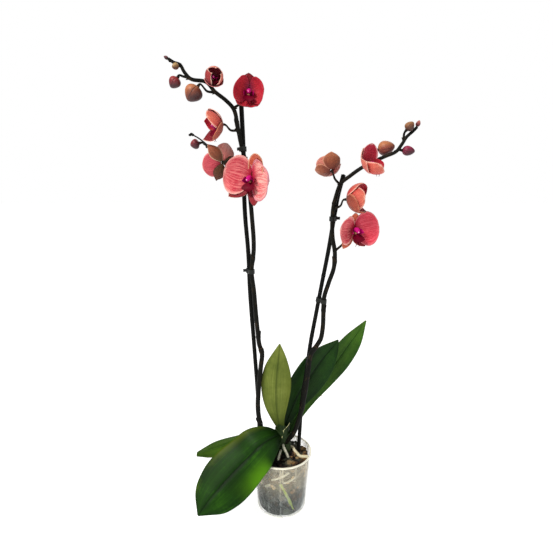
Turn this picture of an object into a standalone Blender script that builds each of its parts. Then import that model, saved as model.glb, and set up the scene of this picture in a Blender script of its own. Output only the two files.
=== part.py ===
"""Potted orchid: a two-spike moth orchid in a clear pot of bark, held up by two canes.

Lengths are in metres, +Z is up, the pot stands on z = 0 with its middle on the Z axis,
and -Y is the side the plant shows to the room.
"""
import math

import bmesh
import bpy
import numpy as np
from mathutils import Matrix, Vector

# ---------------------------------------------------------------- driving dimensions
POT_RIM_R = 0.0590
POT_TOP_R = 0.0572
POT_BASE_R = 0.0480
POT_HEIGHT = 0.1180
POT_LIP = 0.0030
POT_WALL = 0.0012
POT_FLOOR = 0.0022
BARK_EDGE_Z = 0.1040
BARK_MIDDLE_Z = 0.1130
STICK_R = 0.0038
SPIKE_R = 0.0046
SPIKE_FORWARD = 0.0030
PEDICEL_R = 0.0018
GAP = 0.0003
LEAF_THICK = 0.0020
PETAL_THICK = 0.0010
PETAL_INSET = 0.0019
ROOT_R = 0.0021

for old in list(bpy.data.objects):
    bpy.data.objects.remove(old, do_unlink=True)

PART = bpy.data.collections.new("potted_orchid")
CUTTERS = bpy.data.collections.new("cutters")
bpy.context.scene.collection.children.link(PART)
bpy.context.scene.collection.children.link(CUTTERS)


# ---------------------------------------------------------------- helpers
def paint(obj, rgb, rough):
    """Give one object its own plain surface."""
    mat = bpy.data.materials.new(obj.name)
    mat.use_nodes = True
    shader = mat.node_tree.nodes["Principled BSDF"]
    shader.inputs["Base Color"].default_value = (*rgb, 1.0)
    shader.inputs["Roughness"].default_value = rough
    obj.data.materials.clear()
    obj.data.materials.append(mat)


def add(name, mesh, rgb=None, rough=0.5):
    """Make a named piece of the part from a mesh."""
    obj = bpy.data.objects.new(name, mesh)
    PART.objects.link(obj)
    if rgb is not None:
        paint(obj, rgb, rough)
    return obj


def mesh_of(name, bm):
    """Turn a working mesh into a smooth-shaded mesh that faces out."""
    bmesh.ops.recalc_face_normals(bm, faces=bm.faces)
    for face in bm.faces:
        face.smooth = True
    mesh = bpy.data.meshes.new(name)
    bm.to_mesh(mesh)
    bm.free()
    return mesh


def hide(obj):
    """Move a shape that only cuts or joins out of the part."""
    PART.objects.unlink(obj)
    CUTTERS.objects.link(obj)
    obj.hide_render = True
    obj.display_type = "WIRE"


def combine(obj, tool, operation):
    """Join or cut with an exact Boolean."""
    mod = obj.modifiers.new(operation.lower(), "BOOLEAN")
    mod.operation = operation
    mod.solver = "EXACT"
    mod.object = tool
    if tool.name in PART.objects:
        hide(tool)


def solidify(obj, thickness):
    """Give a sheet its thickness, half on each side."""
    mod = obj.modifiers.new("thickness", "SOLIDIFY")
    mod.thickness = thickness
    mod.offset = 0.0
    mod.use_rim = True


def flow(rows, t):
    """A smooth curve through the rows, read at t from 0 to 1."""
    rows = np.asarray(rows, float)
    last = len(rows) - 1
    place = min(max(t, 0.0), 1.0) * last
    i = min(int(place), last - 1)
    f = place - i
    gaps = np.linalg.norm(np.diff(rows[:, :3], axis=0), axis=1)

    def lean(j):
        if j == 0:
            return (rows[1] - rows[0]) / gaps[0]
        if j == last:
            return (rows[last] - rows[last - 1]) / gaps[last - 1]
        before = (rows[j] - rows[j - 1]) / gaps[j - 1]
        after = (rows[j + 1] - rows[j]) / gaps[j]
        return (before * gaps[j] + after * gaps[j - 1]) / (gaps[j] + gaps[j - 1])

    return ((2 * f ** 3 - 3 * f ** 2 + 1) * rows[i] + (f ** 3 - 2 * f ** 2 + f) * gaps[i] * lean(i)
            + (3 * f ** 2 - 2 * f ** 3) * rows[i + 1] + (f ** 3 - f ** 2) * gaps[i] * lean(i + 1))


def roomy(rows, extra):
    """The same rod a little fatter and longer, to cut the room it lies in."""
    rows = [list(row) for row in rows]
    for end, inner in ((0, 1), (-1, -2)):
        tip = Vector(rows[end][:3])
        out = (tip - Vector(rows[inner][:3])).normalized()
        rows[end][:3] = tip + out * 0.0006
    return [(x, y, z, r + extra) for x, y, z, r in rows]


def tube(name, rows, steps=3, corners=2):
    """A round rod along rows of (x, y, z, radius)."""
    count = (len(rows) - 1) * steps
    curve = bpy.data.curves.new(name, "CURVE")
    curve.dimensions = "3D"
    curve.bevel_depth = 0.001
    curve.bevel_resolution = corners
    curve.use_fill_caps = True
    line = curve.splines.new("POLY")
    line.points.add(count)
    for i in range(count + 1):
        row = flow(rows, i / count)
        line.points[i].co = (row[0], row[1], row[2], 1.0)
        line.points[i].radius = row[3] / 0.001
    rod = bpy.data.objects.new(name, curve)
    bpy.context.scene.collection.objects.link(rod)
    mesh = bpy.data.meshes.new_from_object(rod.evaluated_get(bpy.context.evaluated_depsgraph_get()))
    bpy.data.objects.remove(rod, do_unlink=True)
    bm = bmesh.new()
    bm.from_mesh(mesh)
    bmesh.ops.remove_doubles(bm, verts=bm.verts, dist=0.00001)
    return add(name, mesh_of(name, bm))


def ball(name, centre, size, around=12, up=8):
    """An ellipsoid with the given half sizes."""
    bm = bmesh.new()
    bmesh.ops.create_uvsphere(bm, u_segments=around, v_segments=up, radius=1.0)
    for v in bm.verts:
        v.co = Vector((v.co.x * size[0], v.co.y * size[1], v.co.z * size[2])) + Vector(centre)
    return add(name, mesh_of(name, bm))


def blade(name, rows, side_a, side_b, fold, along=10, across=4):
    """A leaf: rows of (x, y, z, half width), a width direction at each end, and a keel."""
    bm = bmesh.new()
    bmesh.ops.create_grid(bm, x_segments=along, y_segments=across, size=1.0)
    side_a = Vector(side_a).normalized()
    side_b = Vector(side_b).normalized()
    for v in bm.verts:
        t = (v.co.x + 1.0) / 2.0
        across_at = v.co.y
        row = flow(rows, t)
        ahead = Vector(flow(rows, min(t + 0.02, 1.0))[:3]) - Vector(flow(rows, max(t - 0.02, 0.0))[:3])
        side = side_a.lerp(side_b, t)
        side = (side - ahead * side.dot(ahead) / ahead.length_squared).normalized()
        up = side.cross(ahead.normalized())
        half = max(row[3], 0.0008)
        lift = fold * half * abs(across_at) ** 1.4
        v.co = Vector(row[:3]) + side * half * across_at + up * lift
    obj = add(name, mesh_of(name, bm))
    solidify(obj, LEAF_THICK)
    return obj


def wrap(x, y, cup, inset):
    """Lay a flat point of a bloom on its cup, a sphere of radius `cup`."""
    reach = math.hypot(x, y)
    bowl = cup - inset * (1.0 + 24.0 * reach)
    if reach < 1e-9:
        return Vector((0.0, 0.0, cup - bowl))
    turn = reach / cup
    return Vector((bowl * math.sin(turn) * x / reach,
                   bowl * math.sin(turn) * y / reach,
                   cup - bowl * math.cos(turn)))


def bloom_frame(centre, facing, top):
    """Axes of a bloom: Z out of its face, Y toward its top sepal."""
    z = Vector(facing).normalized()
    x = Vector(top).cross(z).normalized()
    y = z.cross(x)
    turn = Matrix((x, y, z)).transposed().to_4x4()
    return Matrix.Translation(Vector(centre)) @ turn


def lobed(name, frame, lobes, waist, cup, inset, around=21, rings=4):
    """A star of lobes grown together at the middle: (angle, length, half angle) each."""
    bm = bmesh.new()
    bmesh.ops.create_grid(bm, x_segments=around, y_segments=rings, size=1.0)
    for v in bm.verts:
        angle = (v.co.x + 1.0) * math.pi
        reach = waist
        for direction, length, half in lobes:
            off = (math.degrees(angle) - direction + 180.0) % 360.0 - 180.0
            if abs(off) < half:
                shape = math.cos(off / half * math.pi / 2.0) ** 0.6
                reach = max(reach, waist + (length - waist) * shape)
        reach *= (v.co.y + 1.0) / 2.0
        v.co = wrap(reach * math.cos(angle), reach * math.sin(angle), cup, inset)
    bmesh.ops.remove_doubles(bm, verts=bm.verts, dist=0.00001)
    bmesh.ops.transform(bm, matrix=frame, verts=bm.verts)
    obj = add(name, mesh_of(name, bm))
    solidify(obj, PETAL_THICK)
    return obj


def petal(name, frame, direction, length, half, cup, inset, root=0.0038):
    """One broad round petal standing off the middle of a bloom."""
    bm = bmesh.new()
    bmesh.ops.create_grid(bm, x_segments=6, y_segments=5, size=1.0)
    c = math.cos(math.radians(direction))
    s = math.sin(math.radians(direction))
    for v in bm.verts:
        t = 0.03 + 0.94 * (v.co.x + 1.0) / 2.0
        along = root + (length - root) * (v.co.x + 1.0) / 2.0
        broad = half * math.sqrt(1.0 - (2.0 * t - 1.0) ** 2) * (0.30 + 0.70 * min(1.0, t / 0.35))
        off = broad * v.co.y
        v.co = wrap(along * c - off * s, along * s + off * c, cup, inset)
    bmesh.ops.transform(bm, matrix=frame, verts=bm.verts)
    obj = add(name, mesh_of(name, bm))
    solidify(obj, PETAL_THICK)
    return obj


def lip(name, frame, scale):
    """The lip with its two side lobes, grown together with the column above it."""
    body = ball(name, (0.0, 0.0, 0.0), (1.0, 1.0, 1.0), 8, 6)
    for v in body.data.vertices:
        v.co = Vector((v.co.x * 0.0024, v.co.y * 0.0024 + 0.0004, v.co.z * 0.0052 + 0.0061)) * scale
    tongue = ball(name + "_tongue", (0.0, 0.0, 0.0), (1.0, 1.0, 1.0), 10, 6)
    for v in tongue.data.vertices:
        x, y, z = v.co
        v.co = Vector((x * (0.0050 - 0.0022 * max(0.0, -y)), y * 0.0065 - 0.0060,
                       z * 0.0011 + 0.0088 - y * 0.0030)) * scale
    combine(body, tongue, "UNION")
    for hand, word in ((-1, "left"), (1, "right")):
        lobe = ball(name + "_" + word, (0.0, 0.0, 0.0), (1.0, 1.0, 1.0), 8, 5)
        for v in lobe.data.vertices:
            x, y, z = v.co
            v.co = Vector((x * 0.0014 + hand * (0.0040 + z * 0.0010), y * 0.0036 - 0.0025,
                           z * 0.0034 + 0.0098)) * scale
        combine(body, lobe, "UNION")
        lobe.data.transform(frame)
    tongue.data.transform(frame)
    body.data.transform(frame)
    return body


def bud(name, base, axis, length, radius, rgb):
    """A plump bud with a blunt point, sitting on its stalk."""
    frame = bloom_frame(base, axis, (0.13, 0.31, 0.94))
    bm = bmesh.new()
    bmesh.ops.create_uvsphere(bm, u_segments=8, v_segments=7, radius=1.0)
    for v in bm.verts:
        slim = 1.0 - 0.28 * v.co.z - 0.10 * v.co.z ** 2
        v.co = Vector((v.co.x * radius * slim, v.co.y * radius * slim,
                       GAP + length * (v.co.z + 1.0) / 2.0))
    bmesh.ops.transform(bm, matrix=frame, verts=bm.verts)
    return add(name, mesh_of(name, bm), rgb, 0.5)


# ---------------------------------------------------------------- pot and bark
def inside_radius(z):
    """Radius of the inner face of the pot wall at height z."""
    return POT_BASE_R + (POT_TOP_R - POT_BASE_R) * z / (POT_HEIGHT - POT_LIP) - POT_WALL


def turned(name, profile, rgb=None, rough=0.5):
    """A round piece screwed from a profile that runs down the outside and back inside."""
    mesh = bpy.data.meshes.new(name)
    mesh.from_pydata([(r, 0.0, z) for r, z in profile], [(i, i + 1) for i in range(len(profile) - 1)], [])
    obj = add(name, mesh, rgb, rough)
    mod = obj.modifiers.new("turn", "SCREW")
    mod.steps = 48
    mod.render_steps = 48
    mod.use_merge_vertices = True
    mod.merge_threshold = 0.00001
    mod.use_smooth_shade = True
    return obj


pot = turned("pot", [
    (POT_TOP_R - POT_WALL, POT_HEIGHT),
    (POT_RIM_R - 0.0004, POT_HEIGHT),
    (POT_RIM_R, POT_HEIGHT - 0.0005),
    (POT_RIM_R, POT_HEIGHT - POT_LIP + 0.0004),
    (POT_TOP_R, POT_HEIGHT - POT_LIP),
    (POT_BASE_R, 0.0012),
    (POT_BASE_R - 0.0012, 0.0),
    (0.0, 0.0),
    (0.0, POT_FLOOR),
    (inside_radius(POT_FLOOR) - 0.0010, POT_FLOOR),
    (inside_radius(0.0034), 0.0034),
    (POT_TOP_R - POT_WALL, POT_HEIGHT - POT_LIP),
    (POT_TOP_R - POT_WALL, POT_HEIGHT),
], (0.80, 0.79, 0.74), 0.12)

for i in range(8):
    turn = math.radians(22.5 + 45.0 * i)
    bm = bmesh.new()
    bmesh.ops.create_cone(bm, cap_ends=True, segments=12, radius1=0.0032, radius2=0.0032, depth=0.02)
    bmesh.ops.translate(bm, verts=bm.verts, vec=(0.031 * math.cos(turn), 0.031 * math.sin(turn), 0.0))
    combine(pot, add("drain_hole_%d" % i, mesh_of("drain_hole", bm)), "DIFFERENCE")
for i in range(6):
    turn = math.radians(-82.0 + 60.0 * i)
    bm = bmesh.new()
    bmesh.ops.create_cube(bm, size=1.0)
    bmesh.ops.scale(bm, verts=bm.verts, vec=(0.0080, 0.0090, 0.0072))
    bmesh.ops.translate(bm, verts=bm.verts, vec=(0.0480, 0.0, 0.0))
    bmesh.ops.rotate(bm, verts=bm.verts, cent=(0, 0, 0), matrix=Matrix.Rotation(turn, 3, "Z"))
    combine(pot, add("drain_slot_%d" % i, mesh_of("drain_slot", bm)), "DIFFERENCE")

outline = [(0.0, POT_FLOOR + 0.0005), (0.024, POT_FLOOR + 0.0005),
           (inside_radius(POT_FLOOR) - 0.0018, POT_FLOOR + 0.0005),
           (inside_radius(0.0045) - 0.0005, 0.0045)]
outline += [(inside_radius(z) - 0.0005, z) for z in (0.030, 0.055, 0.080, BARK_EDGE_Z)]
outline += [(r, BARK_EDGE_Z + 0.0005 + (BARK_MIDDLE_Z - BARK_EDGE_Z) * math.cos(r / 0.052 * math.pi / 2))
            for r in (0.050, 0.043, 0.036, 0.029, 0.022, 0.014, 0.0)]
bm = bmesh.new()
line = [bm.verts.new((r, 0.0, z)) for r, z in outline]
for above, below in zip(line, line[1:]):
    bm.edges.new((above, below))
bmesh.ops.spin(bm, geom=bm.verts[:] + bm.edges[:], cent=(0, 0, 0), axis=(0, 0, 1),
               angle=2 * math.pi, steps=24, use_merge=True)
bmesh.ops.remove_doubles(bm, verts=bm.verts, dist=0.00001)
for v in bm.verts:
    if v.co.z > BARK_EDGE_Z and math.hypot(v.co.x, v.co.y) < 0.051:
        lumps = math.sin(210 * v.co.x + 1.0) * math.cos(190 * v.co.y)
        lumps += 0.6 * math.sin(340 * v.co.y + 260 * v.co.x)
        v.co.z += 0.0016 * lumps
bark = add("bark_mix", mesh_of("bark_mix", bm), (0.07, 0.05, 0.035), 0.9)

# ---------------------------------------------------------------- crown and leaves
CROWN_AT = (0.0020, 0.0010, 0.1400)
CROWN_SIZE = (0.0140, 0.0090, 0.0360)
crown = ball("crown", CROWN_AT, CROWN_SIZE, 20, 12)
paint(crown, (0.07, 0.12, 0.03), 0.5)
room = ball("crown_room", CROWN_AT, [s + GAP + 0.0001 for s in CROWN_SIZE], 20, 12)
combine(bark, room, "DIFFERENCE")

LEAVES = {
    "leaf_front_left": dict(
        rows=[(-0.003, -0.005, 0.154, 0.008), (-0.0185, -0.0310, 0.1630, 0.025),
              (-0.0405, -0.0460, 0.156, 0.038), (-0.0640, -0.0535, 0.1345, 0.0435),
              (-0.0895, -0.065, 0.1130, 0.0475), (-0.1145, -0.0775, 0.0900, 0.044),
              (-0.1350, -0.0885, 0.0695, 0.030), (-0.1505, -0.0975, 0.0505, 0.0015)],
        side_a=(0.55, -0.40, -0.75), side_b=(0.86, -0.36, -0.35), fold=0.14, rgb=(0.05, 0.13, 0.03)),
    "leaf_back_left": dict(
        rows=[(-0.002, 0.004, 0.136, 0.007), (-0.030, 0.015, 0.139, 0.010),
              (-0.062, 0.021, 0.134, 0.016), (-0.100, 0.022, 0.1205, 0.021),
              (-0.140, 0.020, 0.1060, 0.021), (-0.171, 0.019, 0.0950, 0.006)],
        side_a=(0.0, -1.0, 0.1), side_b=(0.05, -1.0, -0.15), fold=0.16, rgb=(0.07, 0.15, 0.04)),
    "leaf_centre": dict(
        rows=[(-0.002, -0.001, 0.166, 0.007), (-0.007, -0.009, 0.190, 0.013),
              (-0.0105, -0.014, 0.222, 0.0225), (-0.011, -0.018, 0.255, 0.0275),
              (-0.009, -0.021, 0.295, 0.024), (-0.006, -0.022, 0.325, 0.013),
              (-0.004, -0.020, 0.347, 0.0010)],
        side_a=(-1.0, 0.0, 0.0), side_b=(-1.0, 0.1, 0.0), fold=0.22, rgb=(0.35, 0.40, 0.10)),
    "leaf_right_front": dict(
        rows=[(0.006, 0.003, 0.166, 0.006), (0.018, 0.007, 0.198, 0.014),
              (0.0325, 0.009, 0.233, 0.028), (0.0545, 0.010, 0.269, 0.033),
              (0.0790, 0.010, 0.307, 0.0265), (0.099, 0.010, 0.333, 0.010),
              (0.106, 0.010, 0.343, 0.0012)],
        side_a=(-0.8, -0.15, 0.5), side_b=(-0.85, -0.1, 0.5), fold=-0.12, rgb=(0.04, 0.11, 0.04)),
    "leaf_right_back": dict(
        rows=[(0.011, 0.005, 0.146, 0.006), (0.029, 0.018, 0.180, 0.011),
              (0.053, 0.027, 0.2155, 0.016), (0.083, 0.031, 0.254, 0.0205),
              (0.1115, 0.032, 0.2955, 0.0235), (0.1395, 0.032, 0.339, 0.0170),
              (0.161, 0.031, 0.374, 0.0012)],
        side_a=(-0.75, -0.15, 0.5), side_b=(-0.85, -0.1, 0.5), fold=-0.16, rgb=(0.08, 0.17, 0.04)),
}
for name, leaf in LEAVES.items():
    obj = blade(name, leaf["rows"], leaf["side_a"], leaf["side_b"], leaf["fold"])
    paint(obj, leaf["rgb"], 0.35)
    combine(obj, room, "DIFFERENCE")

# ---------------------------------------------------------------- roots
R = 0.0029
ROOTS = {
    "root_top_right": [(0.008, 0.006, 0.118, R), (0.0200, 0.0120, 0.1160, R), (0.0275, -0.0010, 0.1145, R),
                       (0.0370, -0.0120, 0.1115, R), (0.0510, -0.0120, 0.1105, 0.0026)],
    "root_top_front": [(0.002, -0.001, 0.136, 0.0024), (0.004, -0.012, 0.131, 0.0024),
                       (0.010, -0.016, 0.120, 0.0024), (0.015, -0.018, 0.107, 0.0018)],
    "root_top_left": [(0.000, -0.002, 0.122, 0.0022), (-0.0030, -0.015, 0.1215, 0.0022),
                      (-0.0060, -0.0235, 0.116, 0.0022), (-0.008, -0.027, 0.105, 0.0016)],
    "root_aerial": [(0.006, 0.004, 0.128, 0.0026), (0.020, 0.022, 0.138, 0.0026),
                    (0.042, 0.042, 0.172, 0.0026), (0.064, 0.046, 0.203, 0.0024),
                    (0.081, 0.045, 0.212, 0.0016)],
}
for name, line in ROOTS.items():
    obj = tube(name, line)
    paint(obj, (0.62, 0.58, 0.44), 0.6)
    combine(obj, room, "DIFFERENCE")
    combine(bark, tube(name + "_bed", roomy(line, GAP + 0.0002), corners=3),
            "DIFFERENCE")

WALL_ROOTS = {
    "root_wall_green": ([(-93, 0.078), (-84, 0.062), (-72, 0.038), (-61, 0.016)], ROOT_R, (0.45, 0.55, 0.16)),
    "root_wall_pale": ([(-112, 0.086), (-98, 0.091), (-86, 0.097), (-75, 0.103)], 0.0016, (0.78, 0.76, 0.62)),
    "root_wall_short": ([(-86, 0.081), (-77, 0.083), (-68, 0.086), (-60, 0.089)], 0.0015, (0.75, 0.73, 0.58)),
    "root_wall_left": ([(-128, 0.066), (-121, 0.070), (-115, 0.076)], 0.0020, (0.74, 0.74, 0.62)),
}
for name, (line, radius, rgb) in WALL_ROOTS.items():
    path = []
    for angle, z in line:
        reach = inside_radius(z) - radius - GAP - 0.0003
        turn = math.radians(angle)
        path.append((reach * math.cos(turn), reach * math.sin(turn), z, radius))
    paint(tube(name, path), rgb, 0.55)
    combine(bark, tube(name + "_bed", roomy(path, GAP + 0.0002), corners=3),
            "DIFFERENCE")

# ---------------------------------------------------------------- canes
STICKS = {
    "left": [(-0.0415, 0.0030, 0.020), (-0.0425, 0.0000, 0.117), (-0.0450, -0.0060, 0.228),
             (-0.0510, -0.0110, 0.3415), (-0.0570, -0.0160, 0.447), (-0.0590, -0.0195, 0.5195),
             (-0.0630, -0.0220, 0.578), (-0.0640, -0.0275, 0.695), (-0.0660, -0.0300, 0.7575)],
    "right": [(0.0290, 0.0060, 0.020), (0.0345, 0.0020, 0.1375), (0.0390, -0.0020, 0.226),
              (0.0475, -0.0045, 0.295), (0.0520, -0.0070, 0.338), (0.0615, -0.0100, 0.4005),
              (0.0710, -0.0125, 0.4605), (0.0805, -0.0150, 0.5185), (0.0895, -0.0185, 0.5845),
              (0.0935, -0.0195, 0.6115), (0.1015, -0.0210, 0.646)],
}
for hand, line in STICKS.items():
    path = [(*p, STICK_R) for p in line]
    paint(tube("stick_" + hand, path, 2, 3), (0.012, 0.016, 0.012), 0.4)
    combine(bark, tube("stick_hole_" + hand, roomy(path[:3], 0.0004), 2, 4), "DIFFERENCE")

# ---------------------------------------------------------------- flower spikes
SPIKES = {
    "left": [(-0.004, -0.001, 0.128), (-0.022, -0.006, 0.140), (-0.036, -0.008, 0.164),
             (-0.0435, -0.0105, 0.197), (-0.0425, -0.0145, 0.2655), (-0.0385, -0.0160, 0.304),
             (-0.0365, -0.0175, 0.330), (-0.0410, -0.0180, 0.346), (-0.0430, -0.0190, 0.365),
             (-0.0465, -0.0212, 0.4075), (-0.0495, -0.0230, 0.4485), (-0.0530, -0.0245, 0.483),
             (-0.0488, -0.0262, 0.5205), (-0.0510, -0.0290, 0.5785), (-0.0565, -0.0320, 0.638),
             (-0.0610, -0.0335, 0.6695), (-0.0670, -0.0355, 0.696), (-0.0710, -0.0390, 0.7185),
             (-0.0775, -0.0460, 0.7475), (-0.0880, -0.0500, 0.758), (-0.1040, -0.0540, 0.770),
             (-0.1145, -0.0570, 0.782), (-0.1405, -0.0600, 0.788), (-0.1480, -0.0610, 0.7965),
             (-0.1535, -0.0610, 0.806), (-0.1630, -0.0620, 0.8095), (-0.1700, -0.0620, 0.814)],
    "right": [(0.008, 0.000, 0.136), (0.022, -0.006, 0.158), (0.034, -0.0085, 0.196),
              (0.0425, -0.0105, 0.240), (0.0485, -0.0130, 0.2885), (0.0550, -0.0150, 0.331),
              (0.0615, -0.0158, 0.341), (0.0700, -0.0165, 0.3565), (0.0730, -0.0175, 0.376),
              (0.0735, -0.0190, 0.407), (0.0738, -0.0200, 0.4335), (0.0815, -0.0215, 0.463),
              (0.0890, -0.0230, 0.488), (0.0900, -0.0240, 0.5165), (0.0855, -0.0250, 0.541),
              (0.0840, -0.0262, 0.5685), (0.0855, -0.0275, 0.597), (0.0890, -0.0290, 0.6135),
              (0.0955, -0.0310, 0.632), (0.1095, -0.0370, 0.6445), (0.1245, -0.0430, 0.656),
              (0.1425, -0.0450, 0.666), (0.1615, -0.0500, 0.6745), (0.1780, -0.0550, 0.6825),
              (0.1855, -0.0570, 0.6935), (0.1915, -0.0580, 0.7035), (0.2010, -0.0590, 0.7125),
              (0.2060, -0.0600, 0.718)],
}
for hand in SPIKES:
    SPIKES[hand] = [(x, y - SPIKE_FORWARD, z) for x, y, z in SPIKES[hand]]

# Each bloom: middle, way it faces, way its top sepal points, cup radius, sepal length.
BLOOMS = {
    "bloom_left_1": ((-0.1065, -0.0640, 0.7860), (0.35, -0.85, 0.20), (-0.25, 0.05, 1.0), 0.0205, 0.0290),
    "bloom_left_2": ((-0.0525, -0.0500, 0.7690), (0.05, -0.98, 0.05), (0.05, 0.0, 1.0), 0.0300, 0.0305),
    "bloom_left_3": ((-0.0950, -0.0520, 0.7225), (-0.86, -0.49, -0.05), (0.05, 0.0, 1.0), 0.0315, 0.0410),
    "bloom_left_4": ((-0.0960, -0.0460, 0.6655), (-0.45, 0.85, 0.05), (-0.34, 0.0, 1.0), 0.0440, 0.0375),
    "bloom_left_5": ((-0.0494, -0.0490, 0.6408), (-0.40, -0.90, -0.12), (0.40, -0.10, 1.0), 0.0540, 0.0530),
    "bloom_right_1": ((0.1300, -0.0630, 0.6700), (0.58, -0.78, -0.20), (0.05, 0.0, 1.0), 0.0290, 0.0365),
    "bloom_right_2": ((0.0795, -0.0385, 0.6530), (-0.25, 0.75, 0.55), (0.0, -0.3, 1.0), 0.0230, 0.0335),
    "bloom_right_3": ((0.1050, -0.0430, 0.6070), (0.90, -0.32, 0.10), (-0.06, 0.0, 1.0), 0.0295, 0.0440),
    "bloom_right_4": ((0.1205, -0.0330, 0.5560), (0.33, -0.93, -0.10), (-0.10, 0.0, 1.0), 0.0540, 0.0400),
}
# Each bud: foot, way it points, length, radius, colour.
BUDS = {
    "bud_left_1": ((-0.1705, -0.0634, 0.8142), (-0.85, 0.0, 0.5), 0.0075, 0.0026, (0.10, 0.03, 0.03)),
    "bud_left_2": ((-0.1560, -0.0672, 0.8048), (-0.60, -0.70, -0.40), 0.0110, 0.0048, (0.32, 0.24, 0.10)),
    "bud_left_3": ((-0.1580, -0.0625, 0.7890), (-0.60, 0.0, -0.80), 0.0180, 0.0090, (0.25, 0.03, 0.04)),
    "bud_left_4": ((-0.1280, -0.0625, 0.7765), (-0.62, 0.0, -0.78), 0.0260, 0.0135, (0.40, 0.13, 0.07)),
    "bud_left_side": ((-0.1328, -0.0410, 0.6955), (-0.95, 0.0, -0.20), 0.0145, 0.0078, (0.18, 0.02, 0.03)),
    "bud_right_1": ((0.2064, -0.0600, 0.7184), (0.35, 0.0, 0.94), 0.0100, 0.0035, (0.42, 0.14, 0.12)),
    "bud_right_2": ((0.1895, -0.0640, 0.7130), (0.60, -0.15, 0.78), 0.0150, 0.0072, (0.20, 0.11, 0.06)),
    "bud_right_3": ((0.1868, -0.0560, 0.6838), (1.0, 0.0, -0.08), 0.0200, 0.0075, (0.25, 0.03, 0.06)),
    "bud_right_4": ((0.1520, -0.0420, 0.6850), (0.96, 0.0, 0.22), 0.0270, 0.0115, (0.55, 0.22, 0.11)),
}
# Side stalks of each spike: where they leave it, how they bend, and what they carry.
STALKS = {
    "left": {
        "side_branch": [(-0.0605, -0.0335, 0.636), (-0.0715, -0.0340, 0.6410), (-0.0805, -0.0130, 0.6490), (-0.0915, -0.0010, 0.6640),
                        (-0.1050, 0.0030, 0.6770), (-0.1150, -0.0020, 0.6855), (-0.1210, -0.0160, 0.6912),
                        (-0.1277, -0.0360, 0.6983), (-0.1343, -0.0480, 0.7036), (-0.1400, -0.0560, 0.7067)],
        "bud_left_2": [(-0.1530, -0.0610, 0.8055)],
        "bud_left_3": [(-0.1410, -0.0600, 0.7882), (-0.1500, -0.0610, 0.7905)],
        "bud_left_4": [(-0.1035, -0.0540, 0.7697), (-0.1150, -0.0580, 0.7700)],
        "bud_left_side": [(-0.1210, -0.0160, 0.6912), (-0.1265, -0.0300, 0.6945)],
        "bloom_left_1": [(-0.1120, -0.0565, 0.7790)],
        "bloom_left_2": [(-0.0775, -0.0460, 0.7475), (-0.0640, -0.0440, 0.7560)],
        "bloom_left_3": [(-0.0705, -0.0385, 0.7155), (-0.0815, -0.0450, 0.7145)],
        "bloom_left_4": [(-0.0610, -0.0335, 0.656), (-0.0790, -0.0500, 0.6640), (-0.0860, -0.0530, 0.6680)],
        "bloom_left_5": [(-0.0560, -0.0318, 0.6340)],
    },
    "right": {
        "bud_right_2": [(0.1880, -0.0575, 0.6985), (0.1870, -0.0610, 0.7060)],
        "bud_right_3": [(0.1770, -0.0548, 0.6820)],
        "bud_right_4": [(0.1405, -0.0445, 0.6650), (0.1440, -0.0415, 0.6760)],
        "bloom_right_1": [(0.1320, -0.0450, 0.6600), (0.1300, -0.0520, 0.6610)],
        "bloom_right_2": [(0.0950, -0.0310, 0.6310), (0.0850, -0.0385, 0.6400)],
        "bloom_right_3": [(0.0855, -0.0270, 0.5900), (0.0960, -0.0340, 0.5960)],
        "bloom_right_4": [(0.0897, -0.0240, 0.5190), (0.1080, -0.0235, 0.5350)],
    },
}


def on_path(paths, point):
    """The place nearest to a point on any of the paths."""
    best = None
    for line in paths:
        for i in range(len(line) * 30 + 1):
            place = Vector(flow(line, i / (len(line) * 30)))
            if best is None or (place - Vector(point)).length < (best - Vector(point)).length:
                best = place
    return best


for hand, line in SPIKES.items():
    last = len(line) - 1
    path = [(*p, SPIKE_R * (1.0 - 0.50 * (i / last) ** 1.3)) for i, p in enumerate(line)]
    spike = tube("spike_" + hand, path, 2)
    paint(spike, (0.045, 0.050, 0.025), 0.45)
    stems = [line]
    for carried, bends in STALKS[hand].items():
        bends = [on_path(stems, bends[0])] + bends[1:]
        if carried == "side_branch":
            stems.append(bends)
            stalk = tube(carried, [(*p, 0.0019 - 0.0001 * i) for i, p in enumerate(bends)])
            combine(spike, stalk, "UNION")
            continue
        if carried in BLOOMS:
            middle, facing = BLOOMS[carried][:2]
            out = Vector(facing).normalized()
            end = Vector(middle) - out * (PETAL_THICK / 2 + GAP + 0.0001)
        else:
            foot, facing = BUDS[carried][:2]
            out = Vector(facing).normalized()
            end = Vector(foot)
        route = [Vector(p) for p in bends]
        if (end - route[-1]).length > 0.0080:
            route.append(end - out * 0.0040)
        route.append(end)
        rods = [(*p, PEDICEL_R) for p in route]
        rods[-1] = (*route[-1], PEDICEL_R * 1.2)
        combine(spike, tube("stalk_" + carried, rods, 3, 1), "UNION")
    combine(spike, room, "DIFFERENCE")

# ---------------------------------------------------------------- clips
CLIPS = {
    "clip_left_top": ("left", 0.6870), "clip_left_middle": ("left", 0.4830),
    "clip_right_top": ("right", 0.5740), "clip_right_middle": ("right", 0.4280),
}


def at_height(line, z):
    """Point of a path at height z, with the way the path runs there."""
    count = len(line) * 40
    for i in range(count):
        a = Vector(flow(line, i / count))
        b = Vector(flow(line, (i + 1) / count))
        if a.z <= z < b.z:
            return a.lerp(b, (z - a.z) / (b.z - a.z)), (b - a).normalized()
    raise ValueError(z)


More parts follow.
